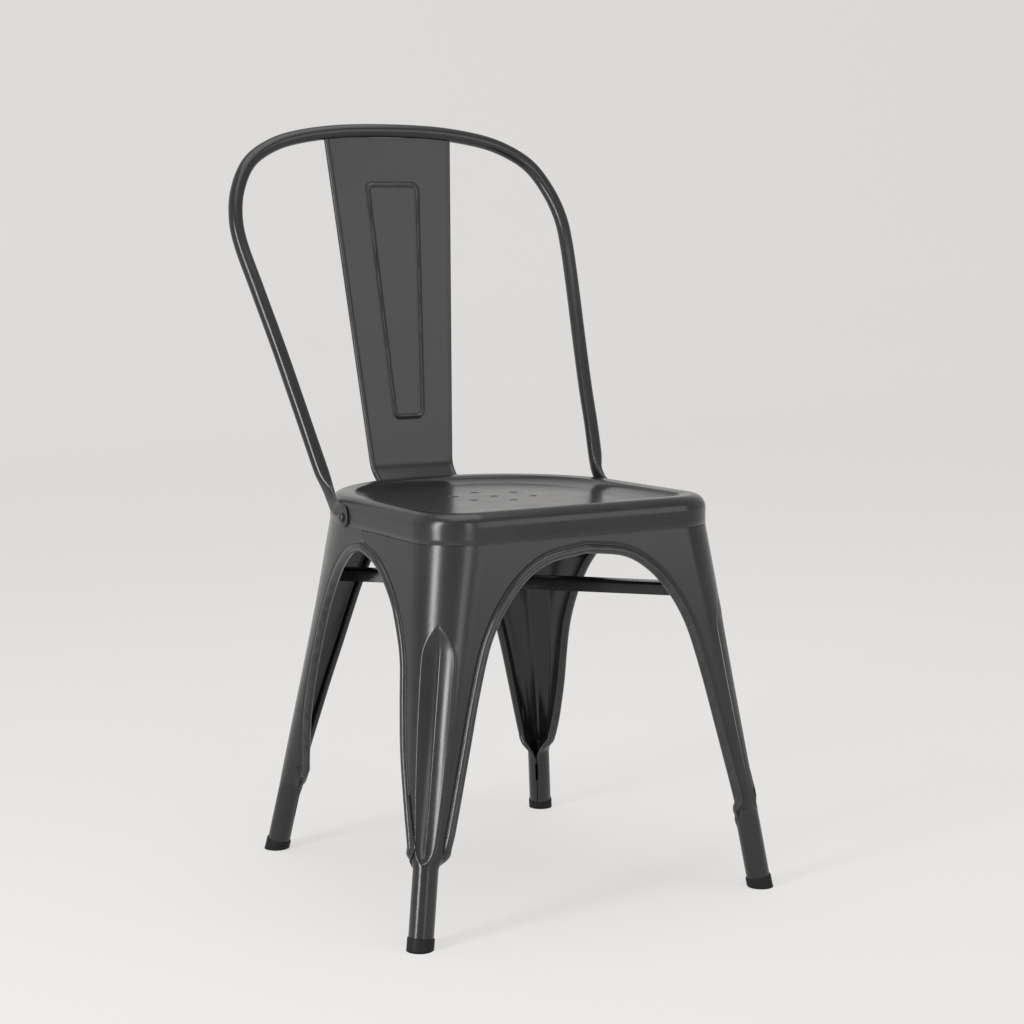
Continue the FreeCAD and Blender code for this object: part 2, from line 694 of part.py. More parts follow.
outwards = {"right": Rotation(Vector(0, 0, 1), Vector(1, 0, 0)),
            "left": Rotation(Vector(0, 0, 1), Vector(-1, 0, 0))}
fixings = [
    ("hoop_bolt", bolt, tongueX + tongueT + 0.02),
    ("hoop_washer", washer, insideX - dim("washerThickness") - 0.05),
    ("hoop_nut", nutBody.Shape, insideX - dim("washerThickness") - dim("nutHeight") - 0.07),
]
for name, shape, x in fixings:
    feature(name + "_right", shape, Placement(Vector(x, boltY, boltZ), outwards["right"]))
    feature(name + "_left", shape, Placement(Vector(-x, boltY, boltZ), outwards["left"]))

# Write every sub-part
doc.recompute()
os.makedirs("parts", exist_ok=True)
for obj in doc.Objects:
    bad = [state for state in obj.State if state in ("Invalid", "Error")]
    if bad:
        raise RuntimeError("%s: %s" % (obj.Label, bad))
for obj in doc.Objects:
    if obj.TypeId != "Part::Feature":
        continue
    if obj.Shape.isNull() or not obj.Shape.isValid() or len(obj.Shape.Solids) != 1:
        raise RuntimeError("bad shape: %s" % obj.Label)
    box = obj.Shape.optimalBoundingBox(False)
    print(obj.Label, round(obj.Shape.Volume), [round(v, 1) for v in
          (box.XMin, box.XMax, box.YMin, box.YMax, box.ZMin, box.ZMax)], flush=True)
    obj.Shape.exportStep("parts/%s.step" % obj.Label)
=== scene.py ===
import math

import bpy
import numpy as np
from mathutils import Matrix, Vector
from mathutils.geometry import delaunay_2d_cdt


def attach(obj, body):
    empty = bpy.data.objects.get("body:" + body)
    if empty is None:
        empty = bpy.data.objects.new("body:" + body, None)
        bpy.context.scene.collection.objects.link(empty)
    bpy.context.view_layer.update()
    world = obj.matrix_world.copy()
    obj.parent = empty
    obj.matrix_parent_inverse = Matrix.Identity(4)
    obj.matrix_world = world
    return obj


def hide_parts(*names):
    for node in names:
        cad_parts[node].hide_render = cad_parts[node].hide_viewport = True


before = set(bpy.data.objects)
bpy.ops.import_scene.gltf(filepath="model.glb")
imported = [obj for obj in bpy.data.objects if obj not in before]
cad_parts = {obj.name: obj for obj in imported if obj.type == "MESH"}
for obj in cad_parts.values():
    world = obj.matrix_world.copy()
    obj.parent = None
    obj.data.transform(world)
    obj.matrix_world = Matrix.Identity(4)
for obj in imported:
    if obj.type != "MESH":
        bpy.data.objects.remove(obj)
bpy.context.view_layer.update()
mm = 0.001


# Meshes from grids of points

def meshFrom(name, points, quads, tris=None):
    mesh = bpy.data.meshes.new(name)
    faces = [quads.reshape(-1)]
    sizes = [np.full(len(quads), 4)]
    if tris is not None and len(tris):
        faces.append(tris.reshape(-1))
        sizes.append(np.full(len(tris), 3))
    loops = np.concatenate(faces).astype(np.int32)
    totals = np.concatenate(sizes).astype(np.int32)
    starts = np.concatenate([[0], np.cumsum(totals)[:-1]]).astype(np.int32)
    mesh.vertices.add(len(points))
    mesh.vertices.foreach_set("co", (points * mm).astype(np.float32).reshape(-1))
    mesh.loops.add(len(loops))
    mesh.loops.foreach_set("vertex_index", loops)
    mesh.polygons.add(len(totals))
    mesh.polygons.foreach_set("loop_start", starts)
    mesh.polygons.foreach_set("use_smooth", np.ones(len(totals), dtype=bool))
    mesh.update(calc_edges=True)
    mesh.validate()
    obj = bpy.data.objects.new(name, mesh)
    bpy.context.scene.collection.objects.link(obj)
    return obj


def gridQuads(rows, cols, closedCols=False, flip=False, start=0):
    # Four-cornered faces over a grid; a closed one joins its last column to its first
    r = np.arange(rows - 1)
    c = np.arange(cols if closedCols else cols - 1)
    rr, cc = np.meshgrid(r, c, indexing="ij")
    r2 = rr + 1
    c2 = (cc + 1) % cols
    corners = [rr * cols + cc, rr * cols + c2, r2 * cols + c2, r2 * cols + cc]
    quads = np.stack(corners, axis=-1).reshape(-1, 4)
    if flip:
        quads = quads[:, ::-1]
    return quads + start


class Patchwork:
    # Several grids gathered into one mesh, with a value at each point for edge wear and painted highlight
    # lines
    def __init__(self):
        self.points = []
        self.quads = []
        self.tris = []
        self.wearAndHighlight = []
        self.count = 0

    def grid(self, points, wearAndHighlight=0.0, closedCols=False, flip=False, facing=None):
        # facing is a direction that the faces at the grid's middle should point along
        rows, cols = points.shape[:2]
        if facing is not None:
            r, c = rows // 2, cols // 2
            across = points[r, (c + 1) % cols] - points[r, c]
            down = points[(r + 1) % rows, c] - points[r, c]
            flip = float(np.dot(np.cross(across, down), facing)) < 0
        self.quads.append(gridQuads(rows, cols, closedCols, flip, self.count))
        self.points.append(points.reshape(-1, 3))
        self.wearAndHighlight.append(np.broadcast_to(wearAndHighlight, (rows, cols)).reshape(-1))
        self.count += rows * cols

    def flat(self, points, tris, wearAndHighlight=0.0):
        self.tris.append(tris + self.count)
        self.points.append(points)
        self.wearAndHighlight.append(np.full(len(points), wearAndHighlight))
        self.count += len(points)

    def build(self, name, mirror=False, weld=0.0):
        points = np.concatenate(self.points)
        quads = np.concatenate(self.quads)
        tris = np.concatenate(self.tris) if self.tris else None
        if mirror:
            points = points * np.array([-1.0, 1.0, 1.0])
            quads = quads[:, ::-1]
            tris = tris[:, ::-1] if tris is not None else None
        obj = meshFrom(name, points, quads, tris)
        layer = obj.data.attributes.new("wearAndHighlight", "FLOAT", "POINT")
        layer.data.foreach_set("value", np.concatenate(self.wearAndHighlight).astype(np.float32))
        if weld:
            tool = obj.modifiers.new("Weld", "WELD")
            tool.merge_threshold = weld * mm
        return obj


def thicken(obj, depth):
    # Sheet thickness, all of it behind the modelled face
    tool = obj.modifiers.new("Sheet", "SOLIDIFY")
    tool.thickness = depth * mm
    tool.offset = -1.0
    tool.use_even_offset = False
    return obj


def smoothLine(knots, count):
    # Catmull-Rom curve through the knots, resampled at even arc length
    knots = np.asarray(knots, dtype=float)
    padded = np.vstack([2 * knots[0] - knots[1], knots, 2 * knots[-1] - knots[-2]])
    steps = 24
    t = np.linspace(0, 1, steps, endpoint=False)[:, None]
    pieces = []
    for i in range(len(knots) - 1):
        a, b, c, d = padded[i:i + 4]
        pieces.append(0.5 * (2 * b + (c - a) * t + (2 * a - 5 * b + 4 * c - d) * t ** 2
                             + (3 * b - a - 3 * c + d) * t ** 3))
    curve = np.vstack(pieces + [knots[-1:]])
    length = np.concatenate([[0], np.cumsum(np.linalg.norm(np.diff(curve, axis=0), axis=1))])
    even = np.linspace(0, length[-1], count)
    return np.stack([np.interp(even, length, curve[:, k]) for k in range(curve.shape[1])], axis=1)


def unit(vectors):
    return vectors / np.linalg.norm(vectors, axis=-1, keepdims=True)


def tangents(points):
    return unit(np.gradient(points, axis=0))


# Seat pan

seat = {"half": 181.0, "front": -212.0, "rear": 169.0, "frontR": 57.0, "rearR": 170.0,
        "seam": 410.6, "crest": 443.3, "slope": 0.012, "shoulder": 15.2, "sheet": 1.5,
        "drainR": 3.5, "pitch": 45.0, "drainY": -14.0, "sideSeam": -40.0, "spacing": 12.0,
        # dish: inset from the outline and height; drainLip: how far past the hole's edge and height
        "dish": [(15.2, 443.3), (19.0, 443.2), (25.0, 442.8), (28.2, 442.2), (30.5, 440.7), (35.0, 438.6),
                 (42.0, 436.8), (50.0, 435.6), (56.0, 435.2), (60.0, 435.1)],
        "drainLip": [(1.6, 0.0), (1.0, -0.08), (0.5, -0.4), (0.15, -0.9), (0.0, -1.5)]}


def seatRing(inset):
    # Outline at an inset from the edge: arcs sampled by angle, sides by fraction, 288 points in all
    half, front, rear = seat["half"], seat["front"], seat["rear"]
    corners = [(half - seat["frontR"], front + seat["frontR"], seat["frontR"], -90, 24, 44),
               (half - seat["rearR"], rear - seat["rearR"], seat["rearR"], 0, 60, 4),
               (seat["rearR"] - half, rear - seat["rearR"], seat["rearR"], 90, 60, 44),
               (seat["frontR"] - half, front + seat["frontR"], seat["frontR"], 180, 24, 28)]
    parts = []
    for i, (cx, cy, radius, start, steps, after) in enumerate(corners):
        r = radius - inset
        angle = np.radians(start + 90.0 * np.arange(steps) / steps)
        parts.append(np.stack([cx + r * np.cos(angle), cy + r * np.sin(angle)], axis=1))
        nx, ny, nr, ns = corners[(i + 1) % 4][:4]
        a0, a1 = math.radians(start + 90), math.radians(ns)
        p0 = np.array([cx + r * math.cos(a0), cy + r * math.sin(a0)])
        p1 = np.array([nx + (nr - inset) * math.cos(a1), ny + (nr - inset) * math.sin(a1)])
        share = (np.arange(after) / after)[:, None]
        parts.append(p0 + (p1 - p0) * share)
    return np.vstack(parts)


def seatSurface(inset, z, tilt):
    # One ring of the seat: the outline at an inset, lower towards the rear by the slope's share
    ring = seatRing(inset)
    drop = seat["slope"] * (ring[:, 1] - seat["front"]) * tilt
    return np.column_stack([ring, z - drop])


def buildSeat():
    # Rings of inset, height and share of slope: up the skirt, round the shoulder, down into the dish
    base = seat["crest"] - seat["shoulder"]
    arc = np.radians(np.linspace(0, 90, 17))
    profile = [(0.35, seat["seam"], 0), (0.0, seat["seam"] + 0.5, 0)]
    profile += [(0.0, seat["seam"] + 6, 0.1), (0.0, base - 4, 0.8)]
    profile += [(seat["shoulder"] * (1 - math.cos(a)), base + seat["shoulder"] * math.sin(a), 1) for a in arc]
    dish = smoothLine(seat["dish"], 48)
    profile += [(i, z, 1) for i, z in dish[1:]]
    rings = np.array([seatSurface(i, z, t) for i, z, t in profile])
    work = Patchwork()
    # The first two rings, at the skirt's seam, get the lighter edge colour: a painted highlight line under
    # the seam, with some edge wear
    wearAndHighlight = np.zeros(len(profile))
    wearAndHighlight[:2] = 0.4
    work.grid(rings, wearAndHighlight[:, None], closedCols=True)
    # Flat floor with seven drain holes, each with a small turned-down lip
    flatInset, flatZ = seat["dish"][-1]
    lip = np.array(seat["drainLip"])
    outer = rings[-1][:, :2]
    centres = [(0.0, seat["drainY"])]
    for k in range(6):
        a = math.radians(30 + 60 * k)
        centres.append((seat["pitch"] * math.cos(a), seat["drainY"] + seat["pitch"] * math.sin(a)))
    turn = np.linspace(0, 2 * np.pi, 32, endpoint=False)
    circle = np.column_stack([np.cos(turn), np.sin(turn)])
    loops = [outer] + [np.array(c) + circle * (seat["drainR"] + lip[0, 0]) for c in centres]
    xs = np.arange(-110, 111, seat["spacing"])
    ys = np.arange(-130, 100, seat["spacing"])
    inner = np.array([(x, y) for x in xs for y in ys])
    clear = np.all([np.hypot(inner[:, 0] - c[0], inner[:, 1] - c[1]) > 9 for c in centres], axis=0)
    flatPoints = np.vstack(loops + [inner[clear]])
    edges = []
    start = 0
    for loop in loops:
        n = len(loop)
        edges += [(start + i, start + (i + 1) % n) for i in range(n)]
        start += n
    verts, _, tris, _, _, _ = delaunay_2d_cdt([Vector(p) for p in flatPoints], edges, [], 0, 1e-5)
    verts = np.array([(v.x, v.y) for v in verts])
    tris = np.array([t for t in tris if len(t) == 3])
    middle = verts[tris].mean(axis=1)
    hole = seat["drainR"] + lip[0, 0] - 0.05
    keep = np.all([np.hypot(middle[:, 0] - c[0], middle[:, 1] - c[1]) > hole for c in centres], axis=0)
    keep &= (np.abs(middle[:, 0]) < seat["half"] - flatInset + 0.1)
    floorZ = flatZ - seat["slope"] * (verts[:, 1] - seat["front"])
    work.flat(np.column_stack([verts, floorZ]), tris[keep])
    for cx, cy in centres:
        lipR = seat["drainR"] + lip[:, :1]
        flatRing = np.stack([cx + lipR * circle[:, 0], cy + lipR * circle[:, 1]], axis=-1)
        level = flatZ - seat["slope"] * (flatRing[..., 1:] - seat["front"])
        ring = np.concatenate([flatRing, lip[:, 1][:, None, None] + level], axis=-1)
        work.grid(ring, np.array([0, 0, .6, 1, 1])[:, None], closedCols=True)
    obj = work.build("seatPan", weld=0.01)
    return thicken(obj, seat["sheet"])


# Legs

foot = {True: np.array([-216.6, -234.2]), False: np.array([-184.2, 188.5])}
outward = {True: np.array([-1.0, -1.0]) * math.sqrt(0.5), False: np.array([-1.0, 1.0]) * math.sqrt(0.5)}
tubeR = 13.4
# Corner radius by height (z, r) and half the corner's angle in degrees by height (hz, half)
shape = {
    True: {"z": [0, 79, 84, 90, 96, 104, 410.6], "r": [13.4, 13.4, 14.3, 17.8, 21.8, 24.5, 56.7],
           "hz": [0, 58, 66, 74, 82, 92, 104, 120, 410.6], "half": [180, 180, 172, 145, 112, 78, 54, 45, 45]},
    False: {"z": [0, 76, 82, 90, 100, 170, 250, 330, 392, 410.6],
            "r": [13.4, 13.4, 14.6, 18.2, 22.5, 38, 56, 98, 156, 169.7],
            "hz": [0, 58, 66, 74, 84, 100, 170, 250, 330, 392, 410.6],
            "half": [180, 180, 172, 145, 112, 84, 74, 64, 52, 45, 45]},
}
# The pressed groove's width by height (z, w) and depth by height (dz, d)
groove = {"z": [88.6, 90, 92.5, 96, 101, 107, 113, 144, 174, 236, 290, 302, 314, 322, 328],
          "w": [0.5, 7, 12, 16, 19, 20.8, 21.8, 26.3, 30, 35, 36, 34, 24.5, 12.5, 0.5],
          "dz": [88.6, 94, 101, 112, 200, 296, 312, 322, 328], "d": [0, 3.6, 5.6, 6.4, 7.4, 7.4, 5.0, 1.8, 0],
          "shift": 0.03, "tip": 0.008, "tipRoot": 0.0894, "shoulder": 0.002, "reach": 1.5,
          "lipUp": 0.045, "lipAt": 1.05, "lipWide": 0.085}
# Free edges of the sheet: distance from the chair's middle and height, then depth and height at the side
frontArch = [(0, 397), (42, 391.5), (67, 381.5), (90, 363.5), (108, 342), (121, 321), (132, 296), (146, 250),
             (159, 200), (172, 150), (185, 100), (194, 66)]
rearArch = [(0, 396), (28, 390.5), (48, 378), (64, 359), (77, 335), (87, 312), (98, 282), (110, 246),
            (122, 208), (133, 170), (143, 135), (153, 98), (160, 70)]
sideFront = [(-40, 391.3), (-72, 383.5), (-98, 370), (-126, 346.5), (-142, 325), (-160.5, 290), (-171.5, 240),
             (-182, 196), (-198.5, 148), (-215, 104), (-225, 75)]
sideRear = [(-40, 391.3), (-10, 385.5), (16, 371), (40, 352), (60, 330), (77, 305), (91, 278), (103, 248),
            (113, 212), (121.5, 170), (129, 130), (137, 98), (147, 72)]


def monotone(x, xs, ys):
    # Smooth interpolation that keeps the knots' order (harmonic mean slopes)
    xs, ys = np.asarray(xs, float), np.asarray(ys, float)
    h = np.diff(xs)
    d = np.diff(ys) / h
    product = d[:-1] * d[1:]
    m = np.concatenate([[d[0]], np.where(product > 0, 2 * product / (d[:-1] + d[1:] + 1e-12), 0), [d[-1]]])
    i = np.clip(np.searchsorted(xs, x) - 1, 0, len(h) - 1)
    t = np.clip((x - xs[i]) / h[i], 0, 1)
    return ((2 * t ** 3 - 3 * t ** 2 + 1) * ys[i] + (t ** 3 - 2 * t ** 2 + t) * h[i] * m[i]
            + (3 * t ** 2 - 2 * t ** 3) * ys[i + 1] + (t ** 3 - t ** 2) * h[i] * m[i + 1])


def cornerLine(front, z):
    # The corner's outermost line, straight from the foot tube to the seat's skirt, as x and y at height z
    if front:
        top = np.array([seat["frontR"] - seat["half"], seat["front"] + seat["frontR"]])
        radius = seat["frontR"]
    else:
        top = np.array([seat["rearR"] - seat["half"], seat["rear"] - seat["rearR"]])
        radius = seat["rearR"]
    low = foot[front] + outward[front] * tubeR
    high = top + outward[front] * (radius - 0.3)
    return low + (high - low) * (np.asarray(z) / seat["seam"])[..., None]


def legFrame(front, z, a):
    # Place, outward normal and direction of growing run at height z and signed run a from the corner.
    # Each level is a corner arc with straight tails; negative runs go towards the chair's side.
    s = shape[front]
    r = monotone(z, s["z"], s["r"])
    half = np.radians(monotone(z, s["hz"], s["half"]))
    out = outward[front]
    sign = 1.0 if front else -1.0
    theta = np.clip(a / r, -half, half)
    rest = a - theta * r
    angle = math.atan2(out[1], out[0]) + sign * theta
    centre = cornerLine(front, z) - out * r[..., None]
    inside = np.clip(z, groove["z"][0], groove["z"][-1])
    w = monotone(inside, groove["z"], groove["w"])
    d = monotone(inside, groove["dz"], groove["d"])
    # The groove is a V, softened at its bottom and shoulders, with a slight raised lip on each side
    g = groove
    u = 2 * (a - g["shift"] * w) / w
    raw = 1 - (np.sqrt(u ** 2 + g["tip"]) - g["tipRoot"]) / (math.sqrt(1 + g["tip"]) - g["tipRoot"])
    dent = d * (0.5 * (raw + np.sqrt(raw ** 2 + g["shoulder"])))
    lip = g["lipUp"] * d * np.exp(-((np.abs(u) - g["lipAt"]) / g["lipWide"]) ** 2)
    dent = np.where(np.abs(u) < g["reach"], dent, 0.0) - lip
    c, n = np.cos(angle), np.sin(angle)
    place = np.stack([centre[..., 0] + (r - dent) * c - sign * rest * n,
                      centre[..., 1] + (r - dent) * n + sign * rest * c, z + 0 * a], axis=-1)
    normal = np.stack([c, n, 0 * c], axis=-1)
    forward = np.stack([-sign * n, sign * c, 0 * c], axis=-1)
    return place, normal, forward


def edgeRun(front, arch, axis, side):
    # Signed run of each arch point, found by inverting the level's own coordinate
    runs = []
    a = side * np.linspace(0, 260, 1500)
    for u, z in arch:
        section = legFrame(front, np.full_like(a, z), a)[0][:, axis]
        delta = section - (-u if axis == 0 else u)
        hit = np.nonzero(np.sign(delta[:-1]) != np.sign(delta[1:]))[0]
        i = hit[0] if len(hit) else np.argmin(np.abs(delta[:-1]))
        f = np.clip(delta[i] / (delta[i] - delta[i + 1] + 1e-12), 0, 1)
        runs.append(a[i] + f * (a[i + 1] - a[i]))
    return np.array(runs)


legSheet = {"sheet": 1.6, "core": 23.0, "lapBelow": 7.0, "lapAbove": 12.0, "lapIn": 1.75}
# Rolled edge: its radius and how proud it stands, both by height, then the bend and groove beside it
bead = {"z": [4, 60, 66, 72, 80, 90, 104, 120, 400], "size": [0.3, 0.3, 0.8, 1.6, 2.7, 3.9, 4.8, 4.9, 4.9],
        "proudZ": [4, 60, 68, 80, 104, 400], "proud": [0.0, 0.0, 0.3, 1.4, 2.7, 2.9],
        "nominal": 4.5, "bend": 1.1, "dip": 1.0, "lead": 3.2, "curlEnd": -205, "sheet": 0.9}
closing = {"from": 104.0, "to": 65.0, "slit": 1.3, "slitEnd": 39.0}


def legEdge(front, knots, axis, side, rows, lowZ):
    # One free edge: down the arch, then its angle about the corner axis grows smoothly to half a turn,
    # so that the sheet closes into a tube with a slit that ends above the foot
    curve = smoothLine(knots, 500)
    curve = curve[curve[:, 1] >= closing["from"]]
    curve = smoothLine(curve[::20].tolist() + curve[-1:].tolist(), rows)
    run = edgeRun(front, curve, axis, side)
    s = shape[front]
    radius = monotone(lowZ, s["z"], s["r"])
    begin = curve[-1, 1]
    first = abs(run[-1]) / monotone(np.array(begin), s["z"], s["r"])
    share = np.clip((begin - lowZ) / (begin - closing["to"]), 0, 1)
    gap = closing["slit"] * np.clip((lowZ - closing["slitEnd"]) / 3.0, 0, 1)
    angle = first + (np.pi - gap / radius - first) * share ** 2 * (3 - 2 * share)
    return np.concatenate([curve[:, 1], lowZ]), np.concatenate([run, side * angle * radius])


def inward(z, a, side):
    # Direction into the sheet, square to the edge, as height and run; straight up at the crest
    da, dz = np.gradient(a), np.gradient(z)
    size = np.hypot(da, dz)
    up, over = -side * da / size, side * dz / size
    up[0], over[0] = 1.0, 0.0
    return up, over


def buildLeg(front):
    # Grid of height and run: rows go down the leg, columns from the side edge round to the end edge
    rows = 130
    lowZ = np.concatenate([np.linspace(103.2, 60, 48), np.linspace(58, 37, 12), np.linspace(34, 4.5, 8)])
    zEnd, aEnd = legEdge(front, frontArch if front else rearArch, 0, 1, rows, lowZ)
    zSide, aSide = legEdge(front, sideFront if front else sideRear, 1, -1, rows, lowZ)
    meet = np.minimum(zEnd, zSide)
    size = monotone(meet, bead["z"], bead["size"])
    proud = monotone(meet, bead["proudZ"], bead["proud"])
    scale = size / bead["nominal"]
    bend, dip, lead = bead["bend"] * scale, bead["dip"] * scale, bead["lead"] * scale
    hollow = proud - size
    setback = np.sqrt(np.maximum((size + bend) ** 2 - (bend - dip - hollow) ** 2, 0.01))
    upE, overE = inward(zEnd, aEnd, 1)
    upS, overS = inward(zSide, aSide, -1)
    zE, aE = zEnd + upE * (setback + lead), aEnd + overE * (setback + lead)
    zS, aS = zSide + upS * (setback + lead), aSide + overS * (setback + lead)
    core = np.minimum(legSheet["core"], 0.8 * np.minimum(np.abs(aEnd), np.abs(aSide)))
    left = np.linspace(0, 1, 36, endpoint=False)[None, :]
    mid = np.linspace(-1, 1, 81)[None, :]
    right = np.linspace(0, 1, 37)[None, 1:]
    aS, aE, zS, zE = aS[:, None], aE[:, None], zS[:, None], zE[:, None]
    c = core[:, None]
    a = np.hstack([aS + (-c - aS) * left, c * mid, c + (aE - c) * right])
    share = (a - aS) / (aE - aS)
    z = zS + (zE - zS) * share
    # The band above the crests reaches the chair's middle plane and the side seam
    bandRows = 10
    zTop = seat["seam"] - (0.8 if front else 0.0)
    sideEnd = seat["sideSeam"] - (0.5 if front else 0.0)
    lift = np.linspace(0, 1, bandRows, endpoint=False)[:, None]
    sideTop = edgeRun(front, [(seat["sideSeam"], zTop)], 1, -1)[0]
    endTop = edgeRun(front, [(0.0, zTop)], 0, 1)[0]
    first = np.hstack([sideTop + (-c[0] - sideTop) * left, c[0] * mid, c[0] + (endTop - c[0]) * right])
    a[0] = first
    allA = np.vstack([np.repeat(first, bandRows, axis=0), a])
    allZ = np.vstack([zTop + (z[:1] - zTop) * lift, z])
    sheet, normal, _ = legFrame(front, allZ, allA)
    sheet[:bandRows + 1, 0, 1] = sideEnd
    sheet[:bandRows + 1, -1, 0] = 0.0
    work = Patchwork()
    middle = normal[len(normal) // 2, normal.shape[1] // 2]
    work.grid(sheet, 0.0, facing=middle)
    # Lap behind the seat's skirt
    lapEnds = (seat["seam"] - legSheet["lapBelow"], seat["seam"] + legSheet["lapAbove"])
    lapZ = np.linspace(*lapEnds, 5)[:, None] + 0 * first
    lap, lapNormal, _ = legFrame(front, lapZ, np.repeat(first, 5, axis=0))
    lap = lap - legSheet["lapIn"] * lapNormal
    lap[:, 0, 1], lap[:, -1, 0] = seat["sideSeam"], 0.0
    work.grid(lap, 0.0, facing=lapNormal[2, first.size // 2])
    # Rolled edges: a shallow groove, a concave bend, then a curl round the free edge and back inside
    beads = Patchwork()
    stop = rows + 46  # the rolled edges end about 62 mm above the floor
    for zz, runs, up, over, side, axis, at in ((zEnd, aEnd, upE, overE, 1, 0, 0.0),
                                               (zSide, aSide, upS, overS, -1, 1, sideEnd)):
        p, n, e = legFrame(front, zz[:stop], runs[:stop])
        along = tangents(p)
        n = unit(n - along * np.sum(n * along, axis=1)[:, None])
        away = np.cross(along, n)
        away = away * np.sign(np.sum(away[stop // 2] * e[stop // 2]) * side)
        sz, bd, dp = size[:stop, None], bend[:stop, None], dip[:stop, None]
        hollowAt = hollow[:stop, None]
        back, leadAt = setback[:stop, None], lead[:stop, None]
        ramp = np.linspace(0, 1, 6, endpoint=False)[None, :]
        re = -back - leadAt * (1 - ramp)
        rn = -dp * ramp ** 2 * (3 - 2 * ramp)
        meetAngle = np.arctan2(bd - dp - hollowAt, -back)
        fillet = -np.pi / 2 + (meetAngle - np.pi / 2) * np.linspace(0, 1, 7)[None, :]
        fe = -back + bd * np.cos(fillet)
        fn = bd - dp + bd * np.sin(fillet)
        curl = meetAngle + (np.radians(bead["curlEnd"]) - meetAngle) * np.linspace(0, 1, 32)[None, 1:]
        ce = sz * np.cos(curl)
        cn = hollowAt + sz * np.sin(curl)
        pe, pn = np.hstack([re, fe, ce]), np.hstack([rn, fn, cn])
        within, beyond = np.maximum(-pe, 0), np.maximum(pe, 0)
        base, rise, _ = legFrame(front, zz[:stop, None] + up[:stop, None] * within,
                                 runs[:stop, None] + over[:stop, None] * within)
        rise = unit(rise + (n[:, None, :] - rise) * (within < 0.01)[..., None])
        tube = base + away[:, None, :] * beyond[..., None] + rise * pn[..., None]
        tube[0, :, axis] = at
        # The value peaks near the bead's crest, so the lighter edge colour paints a highlight line along the
        # rolled edge, with some edge wear
        turn = np.concatenate([np.full(13, 3.0), np.linspace(-1.0, 3, 31)])
        middle = tube[stop // 2, tube.shape[1] // 2] - p[stop // 2] - n[stop // 2] * hollow[stop // 2]
        beads.grid(tube, 0.6 * np.exp(-turn ** 2)[None, :], facing=middle)
    return work, beads


def finished(pieces, name, crease=52.0):
    # Modifiers applied, pieces joined, and edges steeper than the crease angle kept sharp
    bpy.ops.object.select_all(action="DESELECT")
    for piece in pieces:
        piece.select_set(True)
        bpy.context.view_layer.objects.active = piece
        for tool in list(piece.modifiers):
            bpy.ops.object.modifier_apply(modifier=tool.name)
    bpy.context.view_layer.objects.active = pieces[0]
    if len(pieces) > 1:
        bpy.ops.object.join()
    pieces[0].name = name
    pieces[0].data.set_sharp_from_angle(angle=math.radians(crease))
    return pieces[0]


# Hoop

# x, y and z of the centre line, half width and half thickness, from the right end to the top's middle
hoopKnots = [(182.65, 2.0, 408.02, 0.6, 1.2), (182.65, 2.0, 408.5, 3.3, 1.5), (182.65, 2.0, 410.0, 6.3, 1.6),
             (182.65, 2.0, 413.0, 9.2, 1.6), (182.65, 2.0, 417.0, 10.8, 1.6), (182.65, 2.2, 421.5, 10.7, 1.6),
             (182.65, 4.6, 424.4, 9.6, 1.6), (182.6, 9.8, 425.8, 8.6, 1.6), (182.3, 17.5, 427.0, 8.1, 1.65),
             (181.0, 27.5, 429.0, 8.2, 1.9), (178.8, 38.0, 435.6, 8.6, 2.8), (178.2, 45.5, 443.3, 8.7, 4.2),
             (178.9, 50.2, 450.5, 8.6, 5.8), (180.4, 53.9, 458.0, 8.4, 7.4), (182.2, 58.8, 468.0, 8.25, 8.25),
             (187.0, 74.8, 501.0, 8.25, 8.25), (192.1, 94.7, 540.0, 8.25, 8.25),
             (200.5, 123.0, 598.0, 8.25, 8.25), (211.5, 157.0, 666.0, 8.25, 8.25),
             (219.0, 183.0, 716.0, 8.25, 8.25), (219.0, 197.0, 747.0, 8.25, 8.25),
             (210.5, 210.5, 778.0, 8.25, 8.25), (192.0, 222.5, 808.0, 8.25, 8.25),
             (165.0, 231.0, 827.0, 8.25, 8.25), (128.0, 236.5, 840.0, 8.25, 8.25),
             (70.0, 240.0, 848.5, 8.25, 8.25), (0.0, 241.0, 850.8, 8.25, 8.25)]


def buildHoop():
    # Section carried along the line: a circle, squarer where the tube is flattened
    right = np.array(hoopKnots)
    left = right[:-1][::-1] * np.array([-1, 1, 1, 1, 1])
    line = smoothLine(np.vstack([right, left]), 721)
    centre = line[:, :3]
    along = tangents(centre)
    plane = unit(np.array([[0, -0.894, 0.447]]))
    flat = unit(np.cross(np.broadcast_to(plane, along.shape), along))
    edge = np.cross(along, flat)
    psi = np.linspace(0, 2 * np.pi, 40, endpoint=False)
    power = np.interp(np.minimum(line[:, 3] / line[:, 4], 8), [1, 2.5], [1.0, 0.55])[:, None]
    c = np.sign(np.cos(psi)) * np.abs(np.cos(psi)) ** power
    s = np.sign(np.sin(psi)) * np.abs(np.sin(psi)) ** power
    ring = (centre[:, None, :] + edge[:, None, :] * (line[:, 3:4] * c)[..., None]
            + flat[:, None, :] * (line[:, 4:5] * s)[..., None])
    work = Patchwork()
    flatEnd = np.clip((line[:, 3:4] / line[:, 4:5] - 1.3) / 2, 0, 1)
    work.grid(ring, flatEnd * (np.abs(c) ** 6), closedCols=True)
    return work


# Splat

splat = {"lean": 0.141, "bendY": 181.7, "bendZ": 447.5, "footY": 163.5, "footZ": 432.6, "top": 842.5,
         "sheet": 1.6, "edgeSheet": 1.0, "roll": 3.0, "lowZ": 480.0, "lowHalf": 58.0, "highZ": 832.0,
         "highHalf": 84.6}
ridgeLine = {"lowZ": 508.7, "lowHalf": 18.5, "highZ": 786.0, "highHalf": 33.7, "radius": 7.0, "height": 1.9,
             "width": 1.75}


def splatHalf(z):
    s = splat
    return s["lowHalf"] + (z - s["lowZ"]) * (s["highHalf"] - s["lowHalf"]) / (s["highZ"] - s["lowZ"])


